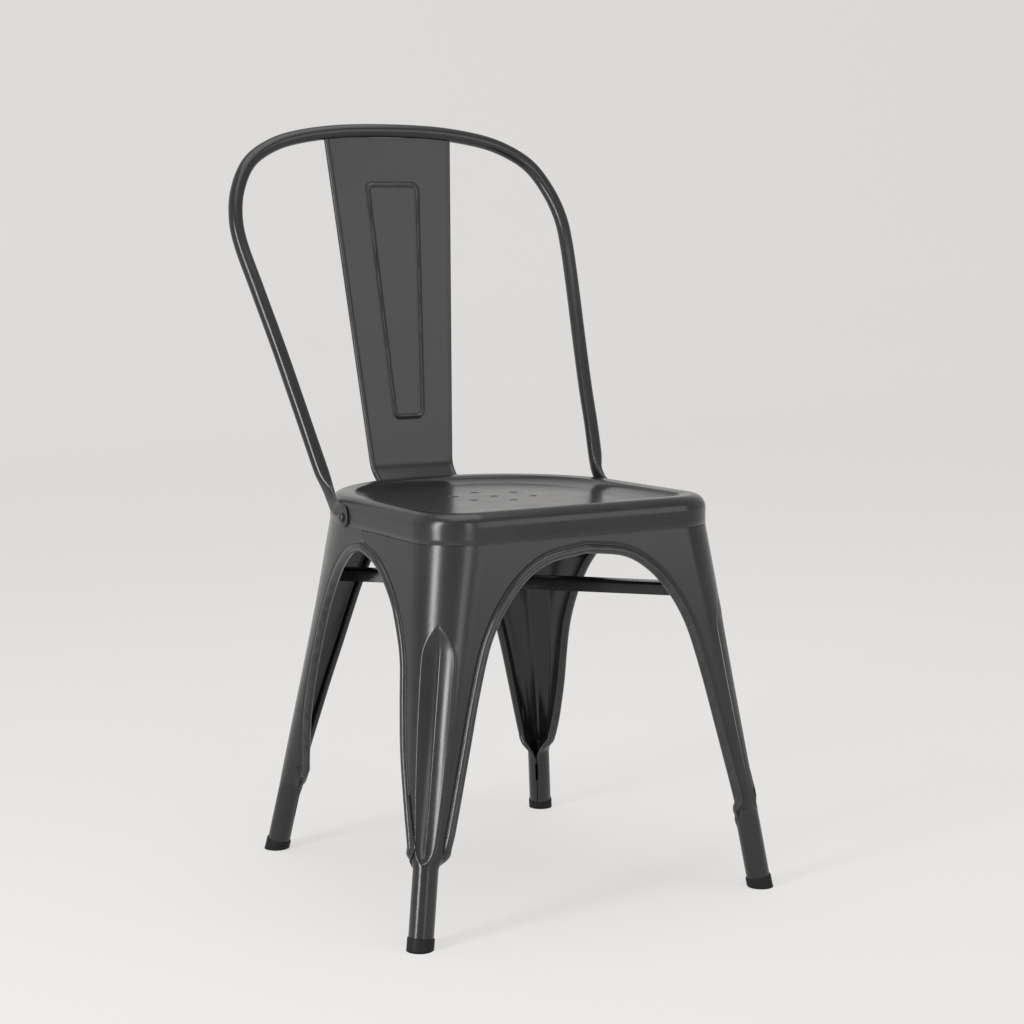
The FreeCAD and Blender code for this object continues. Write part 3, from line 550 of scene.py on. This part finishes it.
def buildSplat():
    # Grid of height and width: a flat sheet along the spine, raised by the ridge, with rolled long edges
    s = splat
    spine = [(s["footY"], s["footZ"]), (s["bendY"] - 6.5, s["bendZ"] - 5.0)]
    spine += [(s["bendY"] + 0.4, s["bendZ"] + 6.0)]
    spine += [(s["bendY"] + s["lean"] * (z - s["bendZ"]), z) for z in (475.0, 560.0, 700.0, s["top"])]
    line = smoothLine(spine, 330)
    along = tangents(line)
    normal = np.column_stack([-along[:, 1], along[:, 0]])
    normal = normal * np.sign(-normal[:, :1])
    half = splatHalf(line[:, 1])
    roll = s["roll"]
    flatU = np.linspace(-1, 1, 115)
    x = (half - 2 * roll)[:, None] * flatU[None, :]
    y = np.broadcast_to(line[:, :1], x.shape)
    z = np.broadcast_to(line[:, 1:], x.shape)
    # Ridge: rounded trapezoid, height from the distance to its outline
    low, high, r = ridgeLine["lowZ"], ridgeLine["highZ"], ridgeLine["radius"]
    mid = 0.5 * (low + high)
    halfH = 0.5 * (high - low)
    widening = ridgeLine["highHalf"] - ridgeLine["lowHalf"]
    halfW = ridgeLine["lowHalf"] + (z - low) * widening / (high - low)
    slant = math.cos(math.atan(widening / (high - low)))
    qx = (np.abs(x) - halfW) * slant + r
    qz = np.abs(z - mid) - halfH + r
    dist = np.hypot(np.maximum(qx, 0), np.maximum(qz, 0)) + np.minimum(np.maximum(qx, qz), 0) - r
    ridge = ridgeLine["height"] * np.exp(-(dist / ridgeLine["width"]) ** 2 * 0.9)
    raised = np.stack([x, y + normal[:, :1] * ridge, z + normal[:, 1:] * ridge], axis=-1)
    work = Patchwork()
    work.grid(raised, ridge / ridgeLine["height"] * 0.5)
    edges = Patchwork()
    for side in (-1, 1):
        turn = np.radians(np.linspace(100, -215, 30))
        cx = side * (half - roll)
        e = side * roll * np.cos(turn)
        n = roll * np.sin(turn) - roll + 1.1
        ex = cx[:, None] + e[None, :]
        ey = line[:, :1] + normal[:, :1] * n[None, :]
        ez = line[:, 1:] + normal[:, 1:] * n[None, :]
        edges.grid(np.stack([ex, ey, ez], axis=-1), 0.3, flip=side == -1)
        bridge = np.stack([np.stack([side * (half - 2 * roll), line[:, 0], line[:, 1]], -1),
                           np.stack([ex[:, 0], ey[:, 0], ez[:, 0]], -1)], axis=1)
        edges.grid(bridge, 0.1, flip=side == -1)
    return work, edges


# Cross brace

brace = {"w": 22.0, "h": 12.0, "t": 1.6, "z": 330.0, "cornerR": 2.0, "frontIn": 3.4, "rearIn": 2.8}


def buildBrace():
    # Channel profile with two rounded corners, carried straight from a rear leg to the opposite front leg
    z = brace["z"] + 0.5 * brace["h"]
    frontEnd = cornerLine(True, np.array(z)) - outward[True] * brace["frontIn"]
    rearEnd = cornerLine(False, np.array(z)) - outward[False] * brace["rearIn"]
    start = np.array([rearEnd[0], rearEnd[1]])
    stop = np.array([-frontEnd[0], frontEnd[1]])
    run = stop - start
    length = np.linalg.norm(run)
    ux = run / length
    vx = np.array([-ux[1], ux[0]])
    h, w, rr = brace["h"], 0.5 * brace["w"], brace["cornerR"]
    corner = np.radians(np.linspace(0, 90, 6))
    top = [(-w + rr - rr * math.cos(a), h - rr + rr * math.sin(a)) for a in corner]
    top += [(w - rr + rr * math.sin(a), h - rr + rr * math.cos(a)) for a in corner]
    profile = np.array([(-w, 0.0), (-w, 0.5)] + top + [(w, 0.5), (w, 0.0)])
    s = np.linspace(0, length, 90)
    pts = np.empty((len(s), len(profile), 3))
    pts[..., 0] = start[0] + ux[0] * s[:, None] + vx[0] * profile[None, :, 0]
    pts[..., 1] = start[1] + ux[1] * s[:, None] + vx[1] * profile[None, :, 0]
    pts[..., 2] = brace["z"] + profile[None, :, 1]
    work = Patchwork()
    work.grid(pts, 0.2)
    return work


# Turned pieces

def turned(profile, origin, axis, count=48):
    # Surface of revolution: radius and height pairs about an axis
    axis = np.asarray(axis, float) / np.linalg.norm(axis)
    helper = np.array([0.0, 1.0, 0.0]) if abs(axis[1]) < 0.9 else np.array([1.0, 0, 0])
    ux = unit(np.cross(helper, axis))
    uy = np.cross(axis, ux)
    psi = np.linspace(0, 2 * np.pi, count, endpoint=False)
    profile = np.asarray(profile, float)
    ring = ux * np.cos(psi)[:, None] + uy * np.sin(psi)[:, None]
    return np.asarray(origin) + profile[:, None, :1] * ring[None] + profile[:, None, 1:] * axis


# Radius and height along the leg's lean, which is taken at leanZ
cap = {"profile": [(0.01, -5), (14.4, -5), (14.4, 0.2), (14.4, 4), (14.4, 10.6), (14.25, 11.6), (13.9, 12.3),
                   (13.5, 12.5), (13.42, 12.0), (13.42, 5)], "leanZ": 120.0, "gap": 0.5}


def footPiece(front):
    # Turned cap about the leg's lean, flattened where it would go below the floor
    lean = cornerLine(front, np.array(cap["leanZ"])) - outward[front] * (tubeR + cap["gap"]) - foot[front]
    axis = np.array([lean[0], lean[1], cap["leanZ"]])
    pts = turned(cap["profile"], [foot[front][0], foot[front][1], 0.0], axis, 64)
    pts[..., 2] = np.maximum(pts[..., 2], 0.0)
    work = Patchwork()
    work.grid(pts, 0.0, closedCols=True, flip=True)
    return work


# x of the bolt head and of the inner face of the sheets it clamps, its y and z, and the pieces' own sizes
fixing = {"headX": 184.27, "innerX": 177.65, "y": 2.0, "z": 419.0, "headR": 5.4, "rim": 1.5, "dome": 2.2,
          "shankR": 2.95, "shank": 15.0, "washer": 1.2, "acrossFlats": 10.0}


def boltPiece(side):
    r, rim = fixing["headR"], fixing["rim"]
    arc = np.radians(np.linspace(90, 8, 12))
    profile = [(max(r * math.cos(a), 0.01), rim + fixing["dome"] * math.sin(a)) for a in arc]
    profile += [(r, rim), (r, -0.1), (fixing["shankR"], -0.12), (fixing["shankR"], 0.6 - fixing["shank"])]
    profile += [(fixing["shankR"] - 0.6, -fixing["shank"]), (0.01, -fixing["shank"])]
    seatAt = [side * fixing["headX"], fixing["y"], fixing["z"]]
    work = Patchwork()
    work.grid(turned(profile, seatAt, [side, 0, 0]), 0.3, closedCols=True)
    return work


def hexPiece(side):
    # Radius by angle is the hexagon's, cut to a circle at each depth for the bore and the chamfers
    psi = np.linspace(0, 2 * np.pi, 48, endpoint=False)
    flat = 0.5 * fixing["acrossFlats"] / np.cos((psi + np.pi / 6) % (np.pi / 3) - np.pi / 6)
    x0 = fixing["innerX"] - fixing["washer"] - 0.07
    rows = []
    for limit, depth in ((3.0, 0.0), (5.2, 0.0), (5.77, 0.5), (5.77, 4.5), (5.2, 5.0), (3.0, 5.0)):
        r = np.minimum(flat, limit)
        rows.append(np.stack([np.full_like(psi, side * (x0 - depth)), fixing["y"] + r * np.cos(psi),
                              fixing["z"] + r * np.sin(psi)], axis=-1))
    work = Patchwork()
    work.grid(np.array(rows), 0.2, closedCols=True, flip=side < 0)
    return work


def washerPiece(side):
    x0 = fixing["innerX"] - fixing["washer"] - 0.05
    rows = [(3.1, 0.0), (6.8, 0.0), (7.0, 0.15), (7.0, 1.05), (6.8, 1.2), (3.1, 1.2), (3.1, 0.0)]
    work = Patchwork()
    work.grid(turned(rows, [side * x0, fixing["y"], fixing["z"]], [side, 0, 0]), 0.1, closedCols=True)
    return work


# Shared effects: each is a node group that puts out masks and heights only

def startGroup(name, inputs, outputs):
    group = bpy.data.node_groups.new(name, "ShaderNodeTree")
    for label, value in inputs.items():
        socket = group.interface.new_socket(label, in_out="INPUT", socket_type="NodeSocketFloat")
        socket.default_value = value
    for label in outputs:
        group.interface.new_socket(label, in_out="OUTPUT", socket_type="NodeSocketFloat")
    return group, group.nodes.new("NodeGroupInput"), group.nodes.new("NodeGroupOutput")


def combine(tree, operation, a, b=None, clamp=False):
    node = tree.nodes.new("ShaderNodeMath")
    node.operation = operation
    node.use_clamp = clamp
    for socket, value in zip(node.inputs, (a, b)):
        if value is None:
            continue
        if isinstance(value, (int, float)):
            socket.default_value = value
        else:
            tree.links.new(value, socket)
    return node.outputs[0]


def noise(tree, coordinate, scale, detail=2.0, roughness=0.5):
    node = tree.nodes.new("ShaderNodeTexNoise")
    node.inputs["Detail"].default_value = detail
    node.inputs["Roughness"].default_value = roughness
    tree.links.new(coordinate, node.inputs["Vector"])
    if isinstance(scale, (int, float)):
        node.inputs["Scale"].default_value = scale
    else:
        tree.links.new(scale, node.inputs["Scale"])
    return node.outputs["Fac"]


def ramp(tree, value, low, high):
    node = tree.nodes.new("ShaderNodeMapRange")
    node.interpolation_type = "SMOOTHSTEP"
    node.inputs["From Min"].default_value = low
    node.inputs["From Max"].default_value = high
    tree.links.new(value, node.inputs["Value"])
    return node.outputs["Result"]


def edgeWearAndHighlightGroup():
    # Rubbed edges and painted highlight lines: the piece's own value broken up by two sizes of noise; on the
    # rolled edges and the seat's seam the lighter colour stands in for highlights as well as wear
    group, inside, out = startGroup("edgeWearAndHighlight", {"Amount": 0.5, "Scale": 90.0}, ["Mask"])
    place = group.nodes.new("ShaderNodeTexCoord").outputs["Object"]
    own = group.nodes.new("ShaderNodeAttribute")
    own.attribute_name = "wearAndHighlight"
    coarse = noise(group, place, inside.outputs["Scale"], 4.0, 0.6)
    fine = noise(group, place, 900.0, 3.0, 0.6)
    broken = combine(group, "ADD", combine(group, "MULTIPLY", coarse, 0.8),
                     combine(group, "MULTIPLY", fine, 0.4))
    both = combine(group, "MULTIPLY", own.outputs["Fac"], ramp(group, broken, 0.35, 0.85))
    mask = combine(group, "MULTIPLY", both, inside.outputs["Amount"], True)
    group.links.new(mask, out.inputs["Mask"])
    return group


def sprayGroup():
    # Sprayed coat: fine orange peel as height, slow drifts of gloss, and faint specks
    outputs = ["Height", "Gloss", "Speck"]
    group, inside, out = startGroup("sprayedCoat", {"Peel": 420.0, "Drift": 9.0}, outputs)
    place = group.nodes.new("ShaderNodeTexCoord").outputs["Object"]
    peel = noise(group, place, inside.outputs["Peel"], 2.0, 0.45)
    slow = noise(group, place, 55.0, 2.0, 0.5)
    height = combine(group, "ADD", combine(group, "MULTIPLY", peel, 0.7),
                     combine(group, "MULTIPLY", slow, 0.3))
    drift = noise(group, place, inside.outputs["Drift"], 3.0, 0.55)
    group.links.new(height, out.inputs["Height"])
    group.links.new(ramp(group, drift, 0.3, 0.7), out.inputs["Gloss"])
    group.links.new(ramp(group, noise(group, place, 2600.0, 1.0), 0.7, 0.8), out.inputs["Speck"])
    return group


def dustGroup():
    # Settled dust: more where the surface faces up, in soft patches
    group, inside, out = startGroup("settledDust", {"Amount": 0.3}, ["Mask"])
    place = group.nodes.new("ShaderNodeTexCoord").outputs["Object"]
    split = group.nodes.new("ShaderNodeSeparateXYZ")
    group.links.new(group.nodes.new("ShaderNodeNewGeometry").outputs["Normal"], split.inputs[0])
    up = ramp(group, split.outputs["Z"], 0.2, 1.0)
    patch = ramp(group, noise(group, place, 26.0, 5.0, 0.65), 0.35, 0.75)
    mask = combine(group, "MULTIPLY", combine(group, "MULTIPLY", up, patch), inside.outputs["Amount"], True)
    group.links.new(mask, out.inputs["Mask"])
    return group


edgeWearAndHighlight = edgeWearAndHighlightGroup()
sprayedCoat = sprayGroup()
settledDust = dustGroup()


# Materials

def useGroup(tree, group, **values):
    node = tree.nodes.new("ShaderNodeGroup")
    node.node_tree = group
    for label, value in values.items():
        node.inputs[label].default_value = value
    return node


def blend(tree, mask, first, second):
    # Colour mix; each colour is a plain triple or a socket
    node = tree.nodes.new("ShaderNodeMix")
    node.data_type = "RGBA"
    tree.links.new(mask, node.inputs[0])
    for socket, colour in ((node.inputs[6], first), (node.inputs[7], second)):
        if isinstance(colour, tuple):
            socket.default_value = (*colour, 1)
        else:
            tree.links.new(colour, socket)
    return node.outputs[2]


def bumped(tree, shader, height, strength, distance):
    node = tree.nodes.new("ShaderNodeBump")
    node.inputs["Strength"].default_value = strength
    node.inputs["Distance"].default_value = distance
    tree.links.new(height, node.inputs["Height"])
    tree.links.new(node.outputs["Normal"], shader.inputs["Normal"])


def newMaterial(name):
    material = bpy.data.materials.new(name)
    material.use_nodes = True
    return material, material.node_tree, material.node_tree.nodes["Principled BSDF"]


def paintedMetal(name, look):
    material, tree, shader = newMaterial(name)
    coat = useGroup(tree, sprayedCoat, Peel=look["peel"], Drift=look["drift"])
    wornAndHighlit = useGroup(tree, edgeWearAndHighlight, Amount=look["wearAndHighlight"], Scale=look["wearScale"])
    dust = useGroup(tree, settledDust, Amount=look["dust"])
    colour = blend(tree, coat.outputs["Gloss"], look["dark"], look["light"])
    colour = blend(tree, coat.outputs["Speck"], colour, look["speck"])
    # The lighter colour on worn edges is partly wear and partly painted highlight lines along the rolled
    # edges and the seat's seam
    colour = blend(tree, wornAndHighlit.outputs["Mask"], colour, look["wornAndHighlitColour"])
    colour = blend(tree, dust.outputs["Mask"], colour, look["dustColour"])
    tree.links.new(colour, shader.inputs["Base Color"])
    drift = combine(tree, "MULTIPLY", coat.outputs["Gloss"], look["roughDrift"])
    rough = combine(tree, "ADD", look["rough"], drift)
    rough = combine(tree, "ADD", rough, combine(tree, "MULTIPLY", wornAndHighlit.outputs["Mask"], 0.12))
    rough = combine(tree, "ADD", rough, combine(tree, "MULTIPLY", dust.outputs["Mask"], 0.3), True)
    tree.links.new(rough, shader.inputs["Roughness"])
    bumped(tree, shader, coat.outputs["Height"], look["bump"], 0.0004)
    return material


# The lighter edge colour serves both worn edges and painted highlight lines
charcoalLook = {"dark": (0.0105, 0.0105, 0.0105), "light": (0.0145, 0.0145, 0.0145),
                "speck": (0.03, 0.03, 0.03), "wornAndHighlitColour": (0.09, 0.09, 0.09), "dustColour": (0.2, 0.2, 0.195),
                "rough": 0.19, "roughDrift": 0.07, "peel": 420.0, "drift": 9.0, "wearAndHighlight": 0.5,
                "wearScale": 90.0, "dust": 0.03, "bump": 0.12}


rubberLook = {"dark": (0.006, 0.006, 0.006), "light": (0.011, 0.011, 0.011), "peel": 1500.0, "drift": 60.0,
              "rough": 0.5, "roughDrift": 0.2, "specular": 0.2, "bump": 0.35}


def rubberMaterial(look):
    # Matte moulded rubber with a fine grain
    material, tree, shader = newMaterial("footRubber")
    grain = useGroup(tree, sprayedCoat, Peel=look["peel"], Drift=look["drift"])
    colour = blend(tree, grain.outputs["Gloss"], look["dark"], look["light"])
    tree.links.new(colour, shader.inputs["Base Color"])
    drift = combine(tree, "MULTIPLY", grain.outputs["Gloss"], look["roughDrift"])
    rough = combine(tree, "ADD", look["rough"], drift, True)
    tree.links.new(rough, shader.inputs["Roughness"])
    shader.inputs["Specular IOR Level"].default_value = look["specular"]
    bumped(tree, shader, grain.outputs["Height"], look["bump"], 0.0003)
    return material


zincLook = {"dark": (0.36, 0.36, 0.37), "light": (0.52, 0.52, 0.53), "rubbed": (0.68, 0.67, 0.65),
            "peel": 800.0, "drift": 220.0, "wearAndHighlight": 0.6, "wearScale": 300.0, "rough": 0.26, "roughDrift": 0.2,
            "bump": 0.2}


def zincMaterial(look):
    # Zinc plated steel with blotchy spangle
    material, tree, shader = newMaterial("zincSteel")
    grain = useGroup(tree, sprayedCoat, Peel=look["peel"], Drift=look["drift"])
    wornAndHighlit = useGroup(tree, edgeWearAndHighlight, Amount=look["wearAndHighlight"], Scale=look["wearScale"])
    colour = blend(tree, grain.outputs["Gloss"], look["dark"], look["light"])
    colour = blend(tree, wornAndHighlit.outputs["Mask"], colour, look["rubbed"])
    tree.links.new(colour, shader.inputs["Base Color"])
    shader.inputs["Metallic"].default_value = 1.0
    drift = combine(tree, "MULTIPLY", grain.outputs["Gloss"], look["roughDrift"])
    rough = combine(tree, "ADD", look["rough"], drift, True)
    tree.links.new(rough, shader.inputs["Roughness"])
    bumped(tree, shader, grain.outputs["Height"], look["bump"], 0.0003)
    return material


charcoal = paintedMetal("charcoalPaint", charcoalLook)
rubber = rubberMaterial(rubberLook)
steel = zincMaterial(zincLook)


def place(obj, material, nodes, slotName):
    obj.data.materials.clear()
    obj.data.materials.append(material)
    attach(obj, "root")
    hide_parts(*nodes)


place(finished([buildSeat()], "seatPan"), charcoal, ["seat_pan"], "seat_paint")
print("seat pan built")
for front, end in ((True, "front"), (False, "rear")):
    sheet, beads = buildLeg(front)
    for mirror, sideName in ((False, "left"), (True, "right")):
        pieces = [thicken(sheet.build("legSheet", mirror), legSheet["sheet"]),
                  thicken(beads.build("legBead", mirror), bead["sheet"])]
        leg = finished(pieces, "%s%sLeg" % (end, sideName.capitalize()))
        place(leg, charcoal, ["leg_%s_%s" % (end, sideName)], "leg_paint")
    shoe = footPiece(front)
    for mirror, sideName in ((False, "left"), (True, "right")):
        piece = shoe.build("%s%sFoot" % (end, sideName.capitalize()), mirror)
        place(piece, rubber, ["foot_%s_%s" % (end, sideName)], "foot_rubber")
print("legs built")
place(finished([buildHoop().build("backHoop")], "backHoop"), charcoal, ["back_hoop"], "hoop_paint")
splatSheet, splatEdges = buildSplat()
back = finished([thicken(splatSheet.build("splatSheet"), splat["sheet"]),
                 thicken(splatEdges.build("splatEdge"), splat["edgeSheet"])], "backSplat")
place(back, charcoal, ["back_splat"], "splat_paint")
print("back built")
bar = buildBrace()
for mirror, sideName in ((False, "left"), (True, "right")):
    piece = finished([thicken(bar.build("brace", mirror), brace["t"])], "%sBrace" % sideName)
    place(piece, charcoal, ["cross_brace_rear_%s" % sideName], "brace_paint")
for side, sideName in ((-1, "left"), (1, "right")):
    bolt = finished([boltPiece(side).build("bolt")], "%sBolt" % sideName)
    washer = finished([washerPiece(side).build("washer")], "%sWasher" % sideName, 30.0)
    nut = finished([hexPiece(side).build("nut")], "%sNut" % sideName, 30.0)
    place(bolt, charcoal, ["hoop_bolt_" + sideName], "bolt_paint")
    place(washer, steel, ["hoop_washer_" + sideName], "fixing_steel")
    place(nut, steel, ["hoop_nut_" + sideName], "fixing_steel")
print("small pieces built")

# Floor, light and camera

# The sweep's y and z, from the floor up into the backdrop, and its paper's look
studio = {"sweep": [(-9000, 0), (0, 0), (3500, 0), (4600, 250), (5100, 1200), (5200, 6000)], "reach": 9000,
          "colour": (0.8, 0.795, 0.79), "tone": (0.795, 0.785, 0.775), "even": 0.72}


def stageSheet():
    # The sweep's line carried straight across from side to side
    line = smoothLine(studio["sweep"], 120)
    x = np.array([[-studio["reach"], studio["reach"]]]) + 0 * line[:, :1]
    pts = np.stack([x, line[:, :1] + 0 * x, line[:, 1:] + 0 * x], axis=-1)
    work = Patchwork()
    work.grid(pts)
    return work.build("studioFloor")


def paperMaterial(look):
    # Pale paper: plain diffuse for the lamps, mostly its own even tone where it is seen directly
    material, tree, _ = newMaterial("studioPaper")
    tree.nodes.clear()
    path = tree.nodes.new("ShaderNodeLightPath")
    seen = combine(tree, "MAXIMUM", path.outputs["Is Camera Ray"], path.outputs["Is Glossy Ray"])
    seen = combine(tree, "MAXIMUM", seen, path.outputs["Is Transmission Ray"])
    matte = tree.nodes.new("ShaderNodeBsdfDiffuse")
    matte.inputs["Color"].default_value = (*look["colour"], 1)
    even = tree.nodes.new("ShaderNodeEmission")
    even.inputs["Color"].default_value = (*look["tone"], 1)
    mix = tree.nodes.new("ShaderNodeMixShader")
    tree.links.new(combine(tree, "MULTIPLY", seen, look["even"]), mix.inputs[0])
    tree.links.new(matte.outputs[0], mix.inputs[1])
    tree.links.new(even.outputs[0], mix.inputs[2])
    tree.links.new(mix.outputs[0], tree.nodes.new("ShaderNodeOutputMaterial").inputs["Surface"])
    return material


floor = stageSheet()
floor.data.materials.append(paperMaterial(studio))

world = bpy.data.worlds.new("studio")
bpy.context.scene.world = world
world.use_nodes = True
sky = {"colour": (0.8, 0.79, 0.78), "level": 0.7}  # level is for the object; what is seen is at 1
air = world.node_tree.nodes["Background"]
air.inputs["Color"].default_value = (*sky["colour"], 1)
ray = world.node_tree.nodes.new("ShaderNodeLightPath")
seen = combine(world.node_tree, "MAXIMUM", ray.outputs["Is Camera Ray"], ray.outputs["Is Transmission Ray"])
gain = combine(world.node_tree, "MULTIPLY", seen, 1.0 - sky["level"])
world.node_tree.links.new(combine(world.node_tree, "ADD", gain, sky["level"]), air.inputs["Strength"])


def softLight(name, at, target, size, power):
    data = bpy.data.lights.new(name, "AREA")
    data.shape = "RECTANGLE"
    data.size, data.size_y = size
    data.energy = power
    lamp = bpy.data.objects.new(name, data)
    bpy.context.scene.collection.objects.link(lamp)
    lamp.location = at
    lamp.rotation_euler = (Vector(target) - Vector(at)).to_track_quat("-Z", "Y").to_euler()


# Place, target and size in metres, and power in watts
lamps = {"overhead": ((0.0, -0.2, 3.0), (0, 0, 0.3), (2.4, 2.4), 30),
         "leftStrip": ((-2.25, -0.62, 1.05), (0, 0, 0.75), (0.45, 2.1), 44),
         "rightFill": ((1.45, -2.75, 1.25), (0, 0.1, 0.6), (1.9, 1.9), 15),
         "frontStrip": ((-0.45, -2.6, 1.05), (0, 0, 0.75), (0.55, 2.1), 10)}
for name, lampLook in lamps.items():
    softLight(name, *lampLook)

# Focal length and frame in pixels, sensor in millimetres, place in metres, turns in degrees
view = {"focal": 2239.67, "frame": 1024, "sensor": 36, "at": (-1.26337, -2.20001, 0.74179),
        "azimuth": -30.493, "down": 7.388, "roll": -0.159}
camData = bpy.data.cameras.new("camera")
camData.lens = view["focal"] / view["frame"] * view["sensor"]
camData.clip_end = 100
cam = bpy.data.objects.new("camera", camData)
bpy.context.scene.collection.objects.link(cam)
az, el, roll = (math.radians(view[turn]) for turn in ("azimuth", "down", "roll"))
forward = np.array([-math.sin(az) * math.cos(el), math.cos(az) * math.cos(el), -math.sin(el)])
rightward = np.array([math.cos(az), math.sin(az), 0.0])
upward = np.cross(rightward, forward)
rolledRight = rightward * math.cos(roll) + upward * math.sin(roll)
rolledUp = np.cross(rolledRight, forward)
columns = np.column_stack([rolledRight, rolledUp, -forward, view["at"]])
cam.matrix_world = Matrix([*columns.tolist(), (0, 0, 0, 1)])
bpy.context.scene.camera = cam
bpy.context.scene.view_settings.view_transform = "Standard"

print("scene ready")
